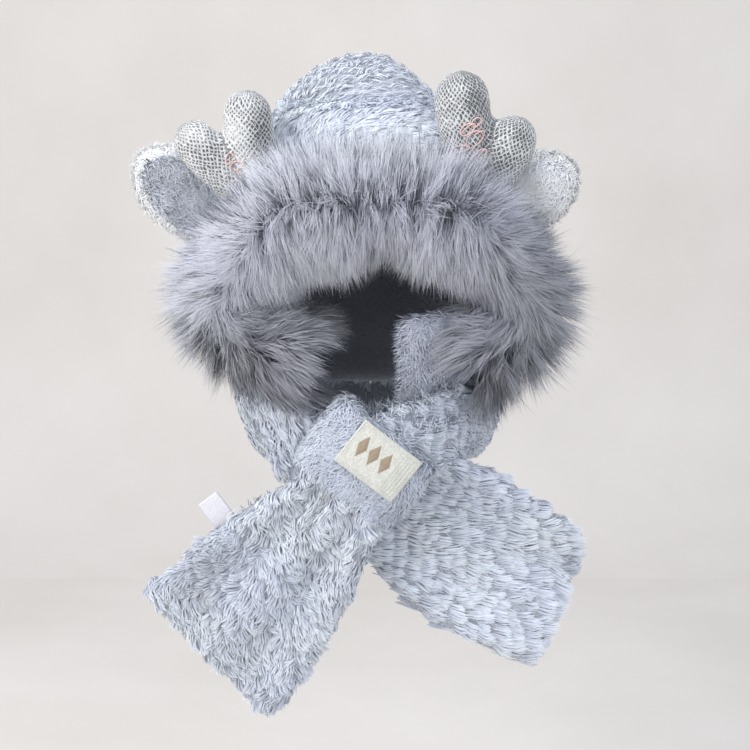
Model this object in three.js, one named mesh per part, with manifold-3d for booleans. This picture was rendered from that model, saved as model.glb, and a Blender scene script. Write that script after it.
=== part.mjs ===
// Animal hood scarf: a plush hood with a long fur ruff, two ears, two woven antlers and two scarf tails.
// Millimetres, +Z up, -Y towards the front, +X to the right as seen from the front.
// The origin is the inner top of the hood, where the crown of a head sits.

import * as THREE from "three";
import { mergeVertices } from "three/addons/utils/BufferGeometryUtils.js";
import Module from "manifold-3d";

const wasm = await Module();
wasm.setup();

// Hood
const HOOD_HALF_WIDTH = 112;
const HOOD_DEPTH = 200;
const HOOD_HEIGHT = 300;
const HOOD_WALL = 11;

// Fur ruff: the backing is a soft tube round the face edge
const RUFF_BACKING_RADIUS = 21;
const FUR_LENGTH = 49;
const LOCK_SPACING = 36;
const LOCK_THICKNESS = 17;

// Throat facing
const FACING_HEIGHT = 84;
const FACING_REACH = 78;
const FACING_THICKNESS = 14;

// Scarf
const SCARF_WIDTH = 165;
const SCARF_THICKNESS = 17;
const COLLAR_HEIGHT = 84;
const COLLAR_THICKNESS = 28;
const COLLAR_DROP = 30;
const FRONT_TAIL_REACH = 134;
const FRONT_TAIL_DROP = 168;
const REAR_TAIL_REACH = 166;
const REAR_TAIL_DROP = 136;

// Keeper band: a loop round the front tail, turned down to the right
const KEEPER_LENGTH = 104;
const KEEPER_DEPTH = 54;
const KEEPER_BREADTH = 67;
const KEEPER_WALL = 10;
const KEEPER_TURN = 38;

// Patch and label
const PATCH_LENGTH = 59;
const PATCH_BREADTH = 42;
const PATCH_THICKNESS = 2.4;
const LABEL_LENGTH = 30;
const LABEL_BREADTH = 20;
const LABEL_THICKNESS = 1.2;

// Ears and antlers
const EAR_LENGTH = 108;
const EAR_WIDTH = 74;
const EAR_THICKNESS = 20;
const ANTLER_HEIGHT = 104;
const ANTLER_LOBE_WIDTH = 50;
const ANTLER_DEPTH = 42;

// Clearances: the gap between neighbours, and how far sewn pieces are set into each other before they are cut
const GAP = 0.35;
const SEW_IN = 3;

// Hood arches from the face edge to the neck edge: half of the inner surface, as shares of half width, depth and height
const HOOD_ARCHES = [
  { arch: "face", lean: 0, top: [0, -0.39, -0.288], shoulder: [0.7, -0.365, -0.34],
    wide: [1.06, -0.25, -0.5], cheek: [0.95, -0.28, -0.635], base: [0.41, -0.38, -0.735] },
  { arch: "brow", lean: -0.02, top: [0, -0.25, -0.16], shoulder: [0.64, -0.22, -0.22],
    wide: [1, -0.14, -0.407], cheek: [0.9, -0.15, -0.627], base: [0.5, -0.28, -0.787] },
  { arch: "seam", lean: -0.06, top: [0, -0.09, -0.003], shoulder: [0.57, -0.07, -0.02],
    wide: [0.9, -0.01, -0.267], cheek: [0.86, 0, -0.593], base: [0.62, -0.17, -0.81] },
  { arch: "crown", lean: -0.09, top: [0, 0.15, 0.147], shoulder: [0.395, 0.16, 0.066],
    wide: [0.88, 0.19, -0.24], cheek: [0.83, 0.19, -0.583], base: [0.7, 0.02, -0.827] },
  { arch: "back", lean: -0.04, top: [0, 0.4, 0.007], shoulder: [0.41, 0.38, -0.067],
    wide: [0.76, 0.35, -0.307], cheek: [0.74, 0.32, -0.6], base: [0.72, 0.17, -0.84] },
  { arch: "nape high", lean: 0, top: [0, 0.56, -0.273], shoulder: [0.393, 0.53, -0.307],
    wide: [0.66, 0.44, -0.433], cheek: [0.7, 0.37, -0.65], base: [0.71, 0.24, -0.847] },
  { arch: "nape low", lean: 0, top: [0, 0.505, -0.6], shoulder: [0.32, 0.485, -0.613],
    wide: [0.54, 0.42, -0.673], cheek: [0.66, 0.33, -0.753], base: [0.69, 0.27, -0.853] },
  { arch: "neck", lean: 0, top: [0, 0.4, -0.857], shoulder: [0.23, 0.39, -0.857],
    wide: [0.43, 0.355, -0.857], cheek: [0.58, 0.315, -0.857], base: [0.67, 0.285, -0.857] },
];
const ARCH_LINES = ["base", "cheek", "wide", "shoulder", "top"];
const FACE_ARCH = 0;
const SEAM_ARCH = 2;
const NECK_ARCH = HOOD_ARCHES.length - 1;

// Locks of the ruff round its backing: angle from straight ahead, + outwards, and how far the lock is combed over.
// The brow's locks part high up, and those of the cheeks further down.
const LOCK_ROWS = [
  { brow: { angle: 112, comb: 10 }, cheek: { angle: 106, comb: 14 }, length: 0.9 },
  { brow: { angle: 84, comb: 30 }, cheek: { angle: 66, comb: 26 }, length: 1 },
  { brow: { angle: 47, comb: -56 }, cheek: { angle: 28, comb: 40 }, length: 0.95 },
  { brow: { angle: 3, comb: -38 }, cheek: { angle: -14, comb: -38 }, length: 0.9 },
  { brow: { angle: -55, comb: -29 }, cheek: { angle: -62, comb: -26 }, length: 0.92 },
];
const BROW_HALF = 0.3;
const RUFF_SPAN = { left: -0.91, right: 0.84 };
const RUFF_FORWARD = 6;

// Collar of each scarf half, from the middle of the nape (0) along the hood's neck edge to its front corner (1)
const COLLAR = [
  { edge: 0, facing: 180, lean: 10, width: 1, thick: 1 },
  { edge: 0.25, facing: 155, lean: 12, width: 1, thick: 1 },
  { edge: 0.5, facing: 125, lean: 15, width: 1, thick: 1 },
  { edge: 0.66, facing: 100, lean: 18, width: 1, thick: 1.05 },
  { edge: 0.78, facing: 84, lean: 20, width: 1, thick: 1.1 },
  { edge: 0.88, facing: 62, lean: 16, width: 0.98, thick: 1.05 },
];
// Free run of each half from the keeper: x, z in shares of its reach and drop, y of the hood's depth
const FRONT_RUN = [
  { x: 0.54, y: 0.205, z: 0.137, width: 0.47, thick: 1.6, facing: 38, lean: 8, pleat: 0.15 },
  { x: 0.3, y: 0.06, z: 0.09, width: 0.42, thick: 1.75, facing: 18, lean: 4, pleat: 0.22 },
  { x: 0, y: 0, z: 0, width: 0.46, thick: 1.7, facing: 4, lean: 0, pleat: 0.2 },
  { x: -0.15, y: -0.01, z: -0.2, width: 0.52, thick: 1.5, facing: 0, lean: 0, pleat: 0.3 },
  { x: -0.37, y: -0.015, z: -0.41, width: 0.7, thick: 1.2, facing: 0, lean: 0, pleat: 0.34 },
  { x: -0.61, y: -0.01, z: -0.64, width: 0.88, thick: 1.05, facing: 0, lean: 0, pleat: 0.3 },
  { x: -0.82, y: 0, z: -0.84, width: 0.97, thick: 1, facing: 0, lean: 0, pleat: 0.2 },
  { x: -1, y: 0.01, z: -0.99, width: 1, thick: 0.95, facing: 0, lean: 0, pleat: 0.12 },
  { x: -1.035, y: 0.01, z: -1.017, width: 0.97, thick: 0.45, facing: 0, lean: 0, pleat: 0.12 },
];
const REAR_RUN = [
  { x: -0.36, y: 0.225, z: 0.03, width: 0.51, thick: 1.5, facing: -34, lean: 6, pleat: 0.15 },
  { x: -0.17, y: 0.2, z: -0.05, width: 0.5, thick: 1.3, facing: -14, lean: 2, pleat: 0.2 },
  { x: 0.024, y: 0.195, z: -0.17, width: 0.6, thick: 1.2, facing: -3, lean: 0, pleat: 0.22 },
  { x: 0.214, y: 0.185, z: -0.346, width: 0.79, thick: 1.15, facing: 0, lean: 0, pleat: 0.26 },
  { x: 0.417, y: 0.175, z: -0.53, width: 0.88, thick: 1.05, facing: 0, lean: 0, pleat: 0.2 },
  { x: 0.63, y: 0.17, z: -0.71, width: 0.9, thick: 1, facing: 0, lean: 0, pleat: 0.14 },
  { x: 0.833, y: 0.165, z: -0.855, width: 0.88, thick: 1, facing: 0, lean: 0, pleat: 0.1 },
  { x: 1, y: 0.16, z: -0.94, width: 0.83, thick: 0.95, facing: 0, lean: 0, pleat: 0.08 },
  { x: 1.028, y: 0.16, z: -0.952, width: 0.8, thick: 0.45, facing: 0, lean: 0, pleat: 0.08 },
];
// Keeper centre: x in shares of the hood's half width, y of its depth, z of the collar's height below the neck edge
const KEEPER_PLACE = { x: -0.02, y: -0.635, z: -0.43 };
const PLEAT_WAVES = 2.5;
const SECTION_POINTS = 10;
const SCARF_STATIONS = 23;

// Leaf of an ear along its length: half width as a share of the ear's width, thickness as a share of its own
const EAR_LEAF = [
  { along: -0.12, half: 0.3, thick: 0.9 },
  { along: 0.15, half: 0.4, thick: 1 },
  { along: 0.42, half: 0.49, thick: 1 },
  { along: 0.66, half: 0.46, thick: 0.95 },
  { along: 0.84, half: 0.34, thick: 0.85 },
  { along: 0.95, half: 0.2, thick: 0.65 },
  { along: 1, half: 0.07, thick: 0.35 },
];
const EARS = [
  { side: "left", u: -0.46, v: 1.1, rise: 36, turn: 184, length: 0.97, width: 1.06 },
  { side: "right", u: 0.43, v: 1.15, rise: 32, turn: -8, length: 0.74, width: 0.92 },
];
// Lobes of the antlers: the middle of each round end from the base, in shares of the antler's height
const ANTLERS = [
  { side: "left", u: -0.33, v: 0.75, tall: { x: -0.06, y: -0.1, z: 0.76, width: 0.94 },
    short: { x: -0.5, y: -0.1, z: 0.53, width: 0.86 } },
  { side: "right", u: 0.33, v: 0.75, tall: { x: -0.16, y: -0.1, z: 0.88, width: 1.06 },
    short: { x: 0.27, y: -0.1, z: 0.55, width: 0.94 } },
];

const COLOURS = {
  plush: { color: 0xc3cdd9, roughness: 0.95 },
  front_plush: { color: 0xc9d2de, roughness: 0.95 },
  fur: { color: 0xa1a5b1, roughness: 0.85 },
  facing: { color: 0xa7abb8, roughness: 0.95 },
  ear_grey: { color: 0x9ca2aa, roughness: 0.95 },
  ear_pale: { color: 0xd6dde6, roughness: 0.95 },
  ear_rim: { color: 0xe6ecec, roughness: 0.95 },
  woven: { color: 0xc8ccca, roughness: 0.9 },
  patch: { color: 0xe9ede8, roughness: 0.6 },
  tape: { color: 0xeeefec, roughness: 0.5 },
};

const vec = (x, y, z) => new THREE.Vector3(x, y, z);
const radians = THREE.MathUtils.degToRad;
const { lerp } = THREE.MathUtils;
const DOWN = vec(0, 0, -1);

// A value between the rows of a table, smooth from row to row; at runs from 0 to 1 over the rows
function along(rows, column, at) {
  const place = THREE.MathUtils.clamp(at, 0, 1) * (rows.length - 1);
  const first = Math.min(Math.floor(place), rows.length - 2);
  const t = place - first;
  const value = (i) => rows[THREE.MathUtils.clamp(i, 0, rows.length - 1)][column];
  const [a, b, c, d] = [value(first - 1), value(first), value(first + 1), value(first + 2)];
  const slope0 = (c - a) / 2;
  const slope1 = (d - b) / 2;
  return (2 * b - 2 * c + slope0 + slope1) * t ** 3 + (3 * c - 3 * b - 2 * slope0 - slope1) * t ** 2 + slope0 * t + b;
}

// Closed geometry of points and triangles
function closed(points, faces) {
  return new THREE.BufferGeometry().setFromPoints(points).setIndex(faces.flat());
}

// Closed geometry through rings of equal count, capped at both ends, or joined end to end as a loop
function loft(rings, loop = false) {
  const count = rings[0].length;
  const points = rings.flat();
  const faces = [];
  const spans = loop ? rings.length : rings.length - 1;
  for (let i = 0; i < spans; i++) {
    const a = i * count;
    const b = ((i + 1) % rings.length) * count;
    for (let j = 0; j < count; j++) {
      const k = (j + 1) % count;
      faces.push([a + j, b + j, b + k], [a + j, b + k, a + k]);
    }
  }
  if (loop) return closed(points, faces);
  for (const [ring, start, flip] of [[rings[0], 0, false], [rings.at(-1), spans * count, true]]) {
    const middle = ring.reduce((sum, p) => sum.add(p), vec(0, 0, 0)).divideScalar(count);
    const centre = points.push(middle) - 1;
    for (let j = 0; j < count; j++) {
      const pair = [start + j, start + ((j + 1) % count)];
      faces.push(flip ? [centre, pair[1], pair[0]] : [centre, ...pair]);
    }
  }
  return closed(points, faces);
}

// A solid of closed geometry, turned to face outwards
function solidOf(geometry) {
  const merged = mergeVertices(geometry, 1e-4);
  const make = (triVerts) =>
    new wasm.Manifold(new wasm.Mesh({ numProp: 3, vertProperties: merged.attributes.position.array, triVerts }));
  const faces = new Uint32Array(merged.index.array);
  const made = make(faces);
  if (made.volume() > 0) return made;
  for (let i = 0; i < faces.length; i += 3) [faces[i + 1], faces[i + 2]] = [faces[i + 2], faces[i + 1]];
  return make(faces);
}

function geometryOf(solid) {
  const mesh = solid.getMesh();
  const positions = new Float32Array(mesh.numVert * 3);
  for (let i = 0; i < mesh.numVert; i++) {
    positions.set(mesh.vertProperties.subarray(i * mesh.numProp, i * mesh.numProp + 3), i * 3);
  }
  return new THREE.BufferGeometry()
    .setAttribute("position", new THREE.BufferAttribute(positions, 3))
    .setIndex(new THREE.BufferAttribute(new Uint32Array(mesh.triVerts), 1));
}

// The solid grown by a clearance, to cut its neighbours with: each point moves until its faces have all moved that far
const SHARPEST = 0.35;
function grown(solid, by = GAP) {
  const geometry = geometryOf(solid);
  const { position } = geometry.attributes;
  const point = (i) => vec().fromBufferAttribute(position, i);
  const faces = geometry.index.array;
  const around = Array.from({ length: position.count }, () => []);
  for (let i = 0; i < faces.length; i += 3) {
    const [a, b, c] = [point(faces[i]), point(faces[i + 1]), point(faces[i + 2])];
    const normal = b.sub(a).cross(c.sub(a)).normalize();
    for (const corner of [0, 1, 2]) around[faces[i + corner]].push(normal);
  }
  around.forEach((normals, i) => {
    const mean = normals.reduce((sum, n) => sum.add(n), vec()).normalize();
    const least = Math.min(...normals.map((n) => n.dot(mean)));
    const moved = point(i).addScaledVector(mean, by / Math.max(least, SHARPEST));
    position.setXYZ(i, moved.x, moved.y, moved.z);
  });
  return solidOf(geometry);
}

// The largest body of a solid after its neighbours are cut from it
function cut(solid, neighbours) {
  const left = neighbours.reduce((rest, n) => rest.subtract(n), solid);
  return left.decompose().sort((a, b) => b.volume() - a.volume())[0];
}

// Hood surface: u from the left neck corner (-1) over the top (0) to the right (1), v along the arches
function hoodInner(u, v) {
  const at = v / NECK_ARCH;
  const rows = (line, axis) => HOOD_ARCHES.map((row) => ({ value: row[line][axis] }));
  const lean = along(HOOD_ARCHES, "lean", at);
  const half = ARCH_LINES.map((line) => {
    const [x, y, z] = [0, 1, 2].map((axis) => along(rows(line, axis), "value", at));
    const shift = { shoulder: lean, wide: lean / 2 }[line] ?? 0;
    return { x, shift, y: y * HOOD_DEPTH, z: z * HOOD_HEIGHT };
  });
  const left = half.map((p) => vec((p.shift - p.x) * HOOD_HALF_WIDTH, p.y, p.z));
  const right = half.slice(0, -1).map((p) => vec((p.shift + p.x) * HOOD_HALF_WIDTH, p.y, p.z)).reverse();
  return new THREE.CatmullRomCurve3([...left, ...right], false, "catmullrom", 0.5).getPoint((u + 1) / 2);
}

// Unit directions of the hood surface: outwards, ahead towards the face, and along the arch
function hoodFrame(u, v) {
  const step = 0.01;
  const across = hoodInner(Math.min(u + step, 1), v).sub(hoodInner(Math.max(u - step, -1), v)).normalize();
  const back = hoodInner(u, Math.min(v + step, NECK_ARCH)).sub(hoodInner(u, Math.max(v - step, 0))).normalize();
  const out = across.clone().cross(back).normalize();
  return { out, ahead: back.negate(), across };
}

const hoodPoint = (u, v, rise) => hoodInner(u, v).addScaledVector(hoodFrame(u, v).out, rise);
const hoodOuter = (u, v) => hoodPoint(u, v, HOOD_WALL);

// A thick panel of the hood between two arches
function hoodPanel(from, to, columns, rows) {
  const sides = [0, HOOD_WALL].map((rise) => {
    const grid = [];
    for (let j = 0; j <= rows; j++) {
      for (let i = 0; i <= columns; i++) grid.push(hoodPoint(-1 + (2 * i) / columns, lerp(from, to, j / rows), rise));
    }
    return grid;
  });
  const width = columns + 1;
  const offset = width * (rows + 1);
  const faces = [];
  const quad = (a, b, c, d) => faces.push([a, b, c], [a, c, d]);
  for (let j = 0; j < rows; j++) {
    for (let i = 0; i < columns; i++) {
      const a = j * width + i;
      quad(offset + a, offset + a + 1, offset + a + width + 1, offset + a + width);
      quad(a, a + width, a + width + 1, a + 1);
    }
    const [left, right] = [j * width, j * width + columns];
    quad(left, offset + left, offset + left + width, left + width);
    quad(right, right + width, offset + right + width, offset + right);
  }
  for (let i = 0; i < columns; i++) {
    const last = rows * width + i;
    quad(i, i + 1, offset + i + 1, offset + i);
    quad(last, offset + last, offset + last + 1, last + 1);
  }
  return solidOf(closed(sides.flat(), faces));
}

const seamSpan = hoodInner(1, SEAM_ARCH).distanceTo(hoodInner(1, SEAM_ARCH + 1));
const seamShift = GAP / seamSpan / 2;
const frontPanel = hoodPanel(FACE_ARCH, SEAM_ARCH - seamShift, 26, 4);
const backPanel = hoodPanel(SEAM_ARCH + seamShift, NECK_ARCH, 26, 10);
const hoodBodies = [grown(frontPanel), grown(backPanel)];

// A padded strip: each station has its centre, its facing and its size; both faces carry the same pleats
function strip(stations) {
  const spread = Array.from({ length: SECTION_POINTS }, (_, i) => -1 + (2 * i) / (SECTION_POINTS - 1));
  const rings = stations.map((station, i) => {
    const before = stations[Math.max(i - 1, 0)].centre;
    const after = stations[Math.min(i + 1, stations.length - 1)].centre;
    const run = after.clone().sub(before).normalize();
    const breadth = run.clone().cross(station.out).normalize();
    const out = breadth.clone().cross(run).normalize();
    const point = (share, face) => {
      const round = Math.sqrt(1 - Math.abs(share) ** 3);
      const fold = station.pleat * Math.cos(PLEAT_WAVES * Math.PI * share);
      return station.centre
        .clone()
        .addScaledVector(breadth, (share * station.width) / 2)
        .addScaledVector(out, (face * round * station.thick) / 2 + fold);
    };
    const front = spread.map((share) => point(share, 1));
    const back = spread.slice(1, -1).reverse().map((share) => point(share, -1));
    return [...front, ...back];
  });
  return solidOf(loft(rings));
}

// The direction that a station faces: degrees from the front, + to the right, and a lean of its top outwards
function facingOut(facing, lean) {
  const level = Math.cos(radians(lean));
  return vec(Math.sin(radians(facing)) * level, -Math.cos(radians(facing)) * level, -Math.sin(radians(lean)));
}

// The hood's outer neck edge from the middle of the nape (0) to its front corner (1)
function neckEdge(at, side) {
  const turn = 0.5;
  if (at < turn) return hoodOuter((side * at) / turn, NECK_ARCH);
  return hoodOuter(side, (NECK_ARCH * (1 - at)) / (1 - turn));
}

const neckHeight = neckEdge(0, 1).z;
const keeperCentre = vec(
  KEEPER_PLACE.x * HOOD_HALF_WIDTH,
  KEEPER_PLACE.y * HOOD_DEPTH,
  neckHeight + KEEPER_PLACE.z * COLLAR_HEIGHT,
);

// One half of the scarf: round the neck below the hood's edge, then free from the keeper to its end
function scarfHalf(side, run, reach, drop) {
  const collar = COLLAR.map((row) => {
    const out = facingOut(side * row.facing, row.lean);
    const thick = row.thick * COLLAR_THICKNESS;
    const centre = neckEdge(row.edge, side)
      .addScaledVector(facingOut(side * row.facing, 0), thick / 2 - SEW_IN)
      .addScaledVector(DOWN, COLLAR_DROP);
    return { centre, out, width: row.width * COLLAR_HEIGHT, thick, pleat: 0 };
  });
  collar[0].centre.x += (side * GAP) / 2;
  const free = run.map((row) => ({
    centre: keeperCentre.clone().add(vec(row.x * reach, row.y * HOOD_DEPTH, row.z * drop)),
    out: facingOut(row.facing, row.lean),
    width: row.width * SCARF_WIDTH,
    thick: row.thick * SCARF_THICKNESS,
    pleat: row.pleat * SCARF_THICKNESS,
  }));
  const rows = [...collar, ...free].map((row) => ({
    ...row, x: row.centre.x, y: row.centre.y, z: row.centre.z, outX: row.out.x, outY: row.out.y, outZ: row.out.z,
  }));
  const lastSpan = 1 - 1 / (rows.length - 1);
  const places = Array.from({ length: SCARF_STATIONS }, (_, i) => (i / (SCARF_STATIONS - 1)) * lastSpan);
  const stations = [...places, 1].map((at) => {
    const value = (column) => along(rows, column, at);
    return {
      centre: vec(value("x"), value("y"), value("z")),
      out: vec(value("outX"), value("outY"), value("outZ")).normalize(),
      width: value("width"),
      thick: value("thick"),
      pleat: value("pleat"),
    };
  });
  return strip(stations);
}

const frontHalfWhole = scarfHalf(1, FRONT_RUN, FRONT_TAIL_REACH, FRONT_TAIL_DROP);
const rearHalfWhole = scarfHalf(-1, REAR_RUN, REAR_TAIL_REACH, REAR_TAIL_DROP);
const frontHalfGrown = grown(frontHalfWhole);
const rearHalfGrown = grown(rearHalfWhole);
const rearHalf = cut(rearHalfWhole, hoodBodies);
const frontHalf = cut(frontHalfWhole, [...hoodBodies, rearHalfGrown]);

// Keeper: a padded loop whose length lies along the turned direction and whose breadth runs down the front tail
const keeperLong = vec(Math.cos(radians(KEEPER_TURN)), 0, -Math.sin(radians(KEEPER_TURN)));
const keeperWide = vec(-Math.sin(radians(KEEPER_TURN)), 0, -Math.cos(radians(KEEPER_TURN)));
const KEEPER_SQUARENESS = 3;
const KEEPER_CROWN = 2.5;
const KEEPER_STEPS = 26;

// A point round the keeper: angle round the loop, inset from its outer face, place across its breadth
function keeperPoint(angle, inset, across) {
  const bend = (value) => Math.sign(value) * Math.abs(value) ** (2 / KEEPER_SQUARENESS);
  return keeperCentre
    .clone()
    .addScaledVector(keeperLong, bend(Math.cos(angle)) * (KEEPER_LENGTH / 2 - inset))
    .addScaledVector(vec(0, -1, 0), bend(Math.sin(angle)) * (KEEPER_DEPTH / 2 - inset))
    .addScaledVector(keeperWide, across);
}

const KEEPER_SECTION = [
  { inset: KEEPER_WALL, across: -0.5 },
  { inset: KEEPER_CROWN, across: -0.5 },
  { inset: 0, across: 0 },
  { inset: KEEPER_CROWN, across: 0.5 },
  { inset: KEEPER_WALL, across: 0.5 },
];
const keeperRings = Array.from({ length: KEEPER_STEPS }, (_, i) =>
  KEEPER_SECTION.map(({ inset, across }) =>
    keeperPoint((2 * Math.PI * i) / KEEPER_STEPS, inset, across * KEEPER_BREADTH),
  ),
);
const keeperWhole = solidOf(loft(keeperRings, true));
const keeperGrown = grown(keeperWhole);
const keeper = cut(keeperWhole, [frontHalfGrown, rearHalfGrown, ...hoodBodies]);

// Patch on the keeper's front, bent as the keeper is
const PATCH_PLACE = { along: 0.05, across: -0.13 };
const PATCH_STEPS = 8;
function patchSolid() {
  const middle = PATCH_PLACE.along * KEEPER_LENGTH;
  const start = PATCH_PLACE.across * KEEPER_BREADTH - PATCH_BREADTH / 2;
  const rings = Array.from({ length: PATCH_STEPS + 1 }, (_, i) => {
    const place = middle + (i / PATCH_STEPS - 0.5) * PATCH_LENGTH;
    const cosine = (Math.abs(place) / (KEEPER_LENGTH / 2)) ** (KEEPER_SQUARENESS / 2) * Math.sign(place);
    const angle = Math.acos(cosine);
    return [[GAP, 0], [GAP, 1], [GAP + PATCH_THICKNESS, 1], [GAP + PATCH_THICKNESS, 0]].map(([rise, edge]) =>
      keeperPoint(angle, 0, start + edge * PATCH_BREADTH).add(vec(0, -rise, 0)),
    );
  });
  return solidOf(loft(rings));
}
const patch = cut(patchSolid(), [keeperGrown]);

// Throat facing: a smooth padded flap from under the right end of the ruff to the throat edge
const FACING_STATIONS = [
  { along: 1, ahead: -0.16, drop: 0, height: 0.8, thick: 0.8 },
  { along: 0.72, ahead: -0.03, drop: 0.01, height: 0.94, thick: 1 },
  { along: 0.42, ahead: 0.05, drop: 0.02, height: 1, thick: 1.05 },
  { along: 0.16, ahead: 0.08, drop: 0.03, height: 0.98, thick: 1 },
  { along: 0.03, ahead: 0.07, drop: 0.03, height: 0.94, thick: 0.8 },
  { along: 0, ahead: 0.065, drop: 0.03, height: 0.9, thick: 0.4 },
];
const FACING_EDGE = 0.25;
const FACING_LIFT = 0.13;
const FACING_TURN = 12;
const FACING_LEAN = 4;
function facingSolid() {
  const corner = hoodOuter(1, FACE_ARCH);
  const stations = FACING_STATIONS.map((row) => ({
    centre: vec(
      FACING_EDGE * HOOD_HALF_WIDTH + row.along * FACING_REACH,
      corner.y - row.ahead * HOOD_DEPTH,
      corner.z + FACING_HEIGHT * (FACING_LIFT - row.drop),
    ),
    out: facingOut(FACING_TURN * row.along, FACING_LEAN),
    width: row.height * FACING_HEIGHT,
    thick: row.thick * FACING_THICKNESS,
    pleat: 0,
  }));
  return strip(stations);
}
const facingWhole = facingSolid();
const facing = cut(facingWhole, [...hoodBodies, frontHalfGrown, rearHalfGrown, keeperGrown]);

// An ear: a stuffed leaf in two pieces, a face to the front and a back that stands round its edge
const EAR_SIDES = 12;
const EAR_FACE_WIDTH = 0.8;
const EAR_FACE_LENGTH = 0.93;
const EAR_FACE_DEPTH = 0.32;
function earPieces(ear) {
  const base = hoodOuter(ear.u, ear.v);
  const level = Math.cos(radians(ear.rise));
  const tip = vec(Math.cos(radians(ear.turn)) * level, Math.sin(radians(ear.turn)) * level, Math.sin(radians(ear.rise)));
  const breadth = tip.clone().cross(vec(0, -1, 0)).normalize();
  const ahead = breadth.clone().cross(tip).normalize();
  const leaf = (width, length, shift, thickness) =>
    solidOf(
      loft(
        EAR_LEAF.map((row) =>
          Array.from({ length: EAR_SIDES }, (_, i) => {
            const angle = (2 * Math.PI * i) / EAR_SIDES;
            return base
              .clone()
              .addScaledVector(tip, row.along * EAR_LENGTH * ear.length * length)
              .addScaledVector(breadth, Math.cos(angle) * row.half * EAR_WIDTH * ear.width * width)
              .addScaledVector(ahead, Math.sin(angle) * row.thick * thickness + shift);
          }),
        ),
      ),
    );
  const faceDepth = EAR_FACE_DEPTH * EAR_THICKNESS;
  const face = leaf(EAR_FACE_WIDTH, EAR_FACE_LENGTH, faceDepth, faceDepth);
  const back = leaf(1, 1, 0, EAR_THICKNESS / 2);
  return { face: cut(face, hoodBodies), back: cut(back, [...hoodBodies, grown(face)]), whole: [grown(face), grown(back)] };
}
const ears = Object.fromEntries(EARS.map((ear) => [ear.side, earPieces(ear)]));

// An antler: two stuffed lobes from one base, fused
const LOBE_SIDES = 10;
const LOBE_STEM = [
  { at: 0, size: 0.72 },
  { at: 0.4, size: 0.88 },
  { at: 0.75, size: 1 },
  { at: 1, size: 1 },
];
const LOBE_DOME = [28, 54, 76];
function lobe(base, row) {
  const end = base.clone().add(vec(row.x, row.y, row.z).multiplyScalar(ANTLER_HEIGHT));
  const run = end.clone().sub(base).normalize();
  const breadth = run.clone().cross(vec(0, -1, 0)).normalize();
  const ahead = breadth.clone().cross(run).normalize();
  const radius = (row.width * ANTLER_LOBE_WIDTH) / 2;
  const depth = ANTLER_DEPTH / ANTLER_LOBE_WIDTH;
  const ring = (centre, size) =>
    Array.from({ length: LOBE_SIDES }, (_, i) => {
      const angle = (2 * Math.PI * i) / LOBE_SIDES;
      return centre
        .clone()
        .addScaledVector(breadth, Math.cos(angle) * size)
        .addScaledVector(ahead, Math.sin(angle) * size * depth);
    });
  const stem = LOBE_STEM.map(({ at, size }) => ring(base.clone().lerp(end, at), radius * size));
  const dome = LOBE_DOME.map((angle) =>
    ring(end.clone().addScaledVector(run, radius * Math.sin(radians(angle))), radius * Math.cos(radians(angle))),
  );
  return solidOf(loft([...stem, ...dome]));
}
function antlerSolid(antler) {
  const base = hoodPoint(antler.u, antler.v, HOOD_WALL - SEW_IN);
  const whole = lobe(base, antler.tall).add(lobe(base, antler.short));
  return { whole: grown(whole), body: cut(whole, [...hoodBodies, ...ears[antler.side].whole]) };
}
const antlers = Object.fromEntries(ANTLERS.map((antler) => [antler.side, antlerSolid(antler)]));

// Ruff: locks fused to the backing, combed up above the parting line along its top and down below it
const BACKING_SIDES = 8;
const BACKING_STEPS = 22;
function ruffPath(u) {
  const { out, ahead, across } = hoodFrame(u, FACE_ARCH);
  const centre = hoodPoint(u, FACE_ARCH, HOOD_WALL / 2).addScaledVector(ahead, RUFF_FORWARD);
  return { centre, out, ahead, across };
}
function lock(path, angle, comb, length, towardsEnd = 0) {
  const turned = (degrees, end) =>
    path.ahead
      .clone()
      .multiplyScalar(Math.cos(radians(degrees)))
      .addScaledVector(path.out, Math.sin(radians(degrees)))
      .multiplyScalar(Math.cos(radians(end)))
      .addScaledVector(path.across, Math.sin(radians(end)));
  const reach = length * FUR_LENGTH;
  const spine = [
    { at: RUFF_BACKING_RADIUS * 0.6, comb: 0, half: 0.62, thick: 1 },
    { at: RUFF_BACKING_RADIUS + reach * 0.5, comb: 0.45, half: 0.46, thick: 0.75 },
  ];
  const rings = spine.map((row) => {
    const centre = path.centre.clone().addScaledVector(turned(angle + comb * row.comb, towardsEnd), row.at);
    const side = turned(angle, towardsEnd + 90);
    const lift = turned(angle + 90, 0);
    const half = row.half * LOCK_SPACING;
    const ridge = (comb > 0 ? -row.thick : row.thick) * LOCK_THICKNESS;
    return [[half, -0.3], [0, 0.7], [-half, -0.3]].map(([a, b]) =>
      centre.clone().addScaledVector(side, a).addScaledVector(lift, b * ridge),
    );
  });
  const tip = path.centre
    .clone()
    .addScaledVector(turned(angle + comb, towardsEnd * 1.1), RUFF_BACKING_RADIUS + reach);
  const points = [...rings.flat(), tip];
  const faces = [[0, 1, 2]];
  for (let j = 0; j < 3; j++) {
    const k = (j + 1) % 3;
    faces.push([j, 3 + j, 3 + k], [j, 3 + k, k], [3 + j, 6, 3 + k]);
  }
  return solidOf(closed(points, faces));
}
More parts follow.
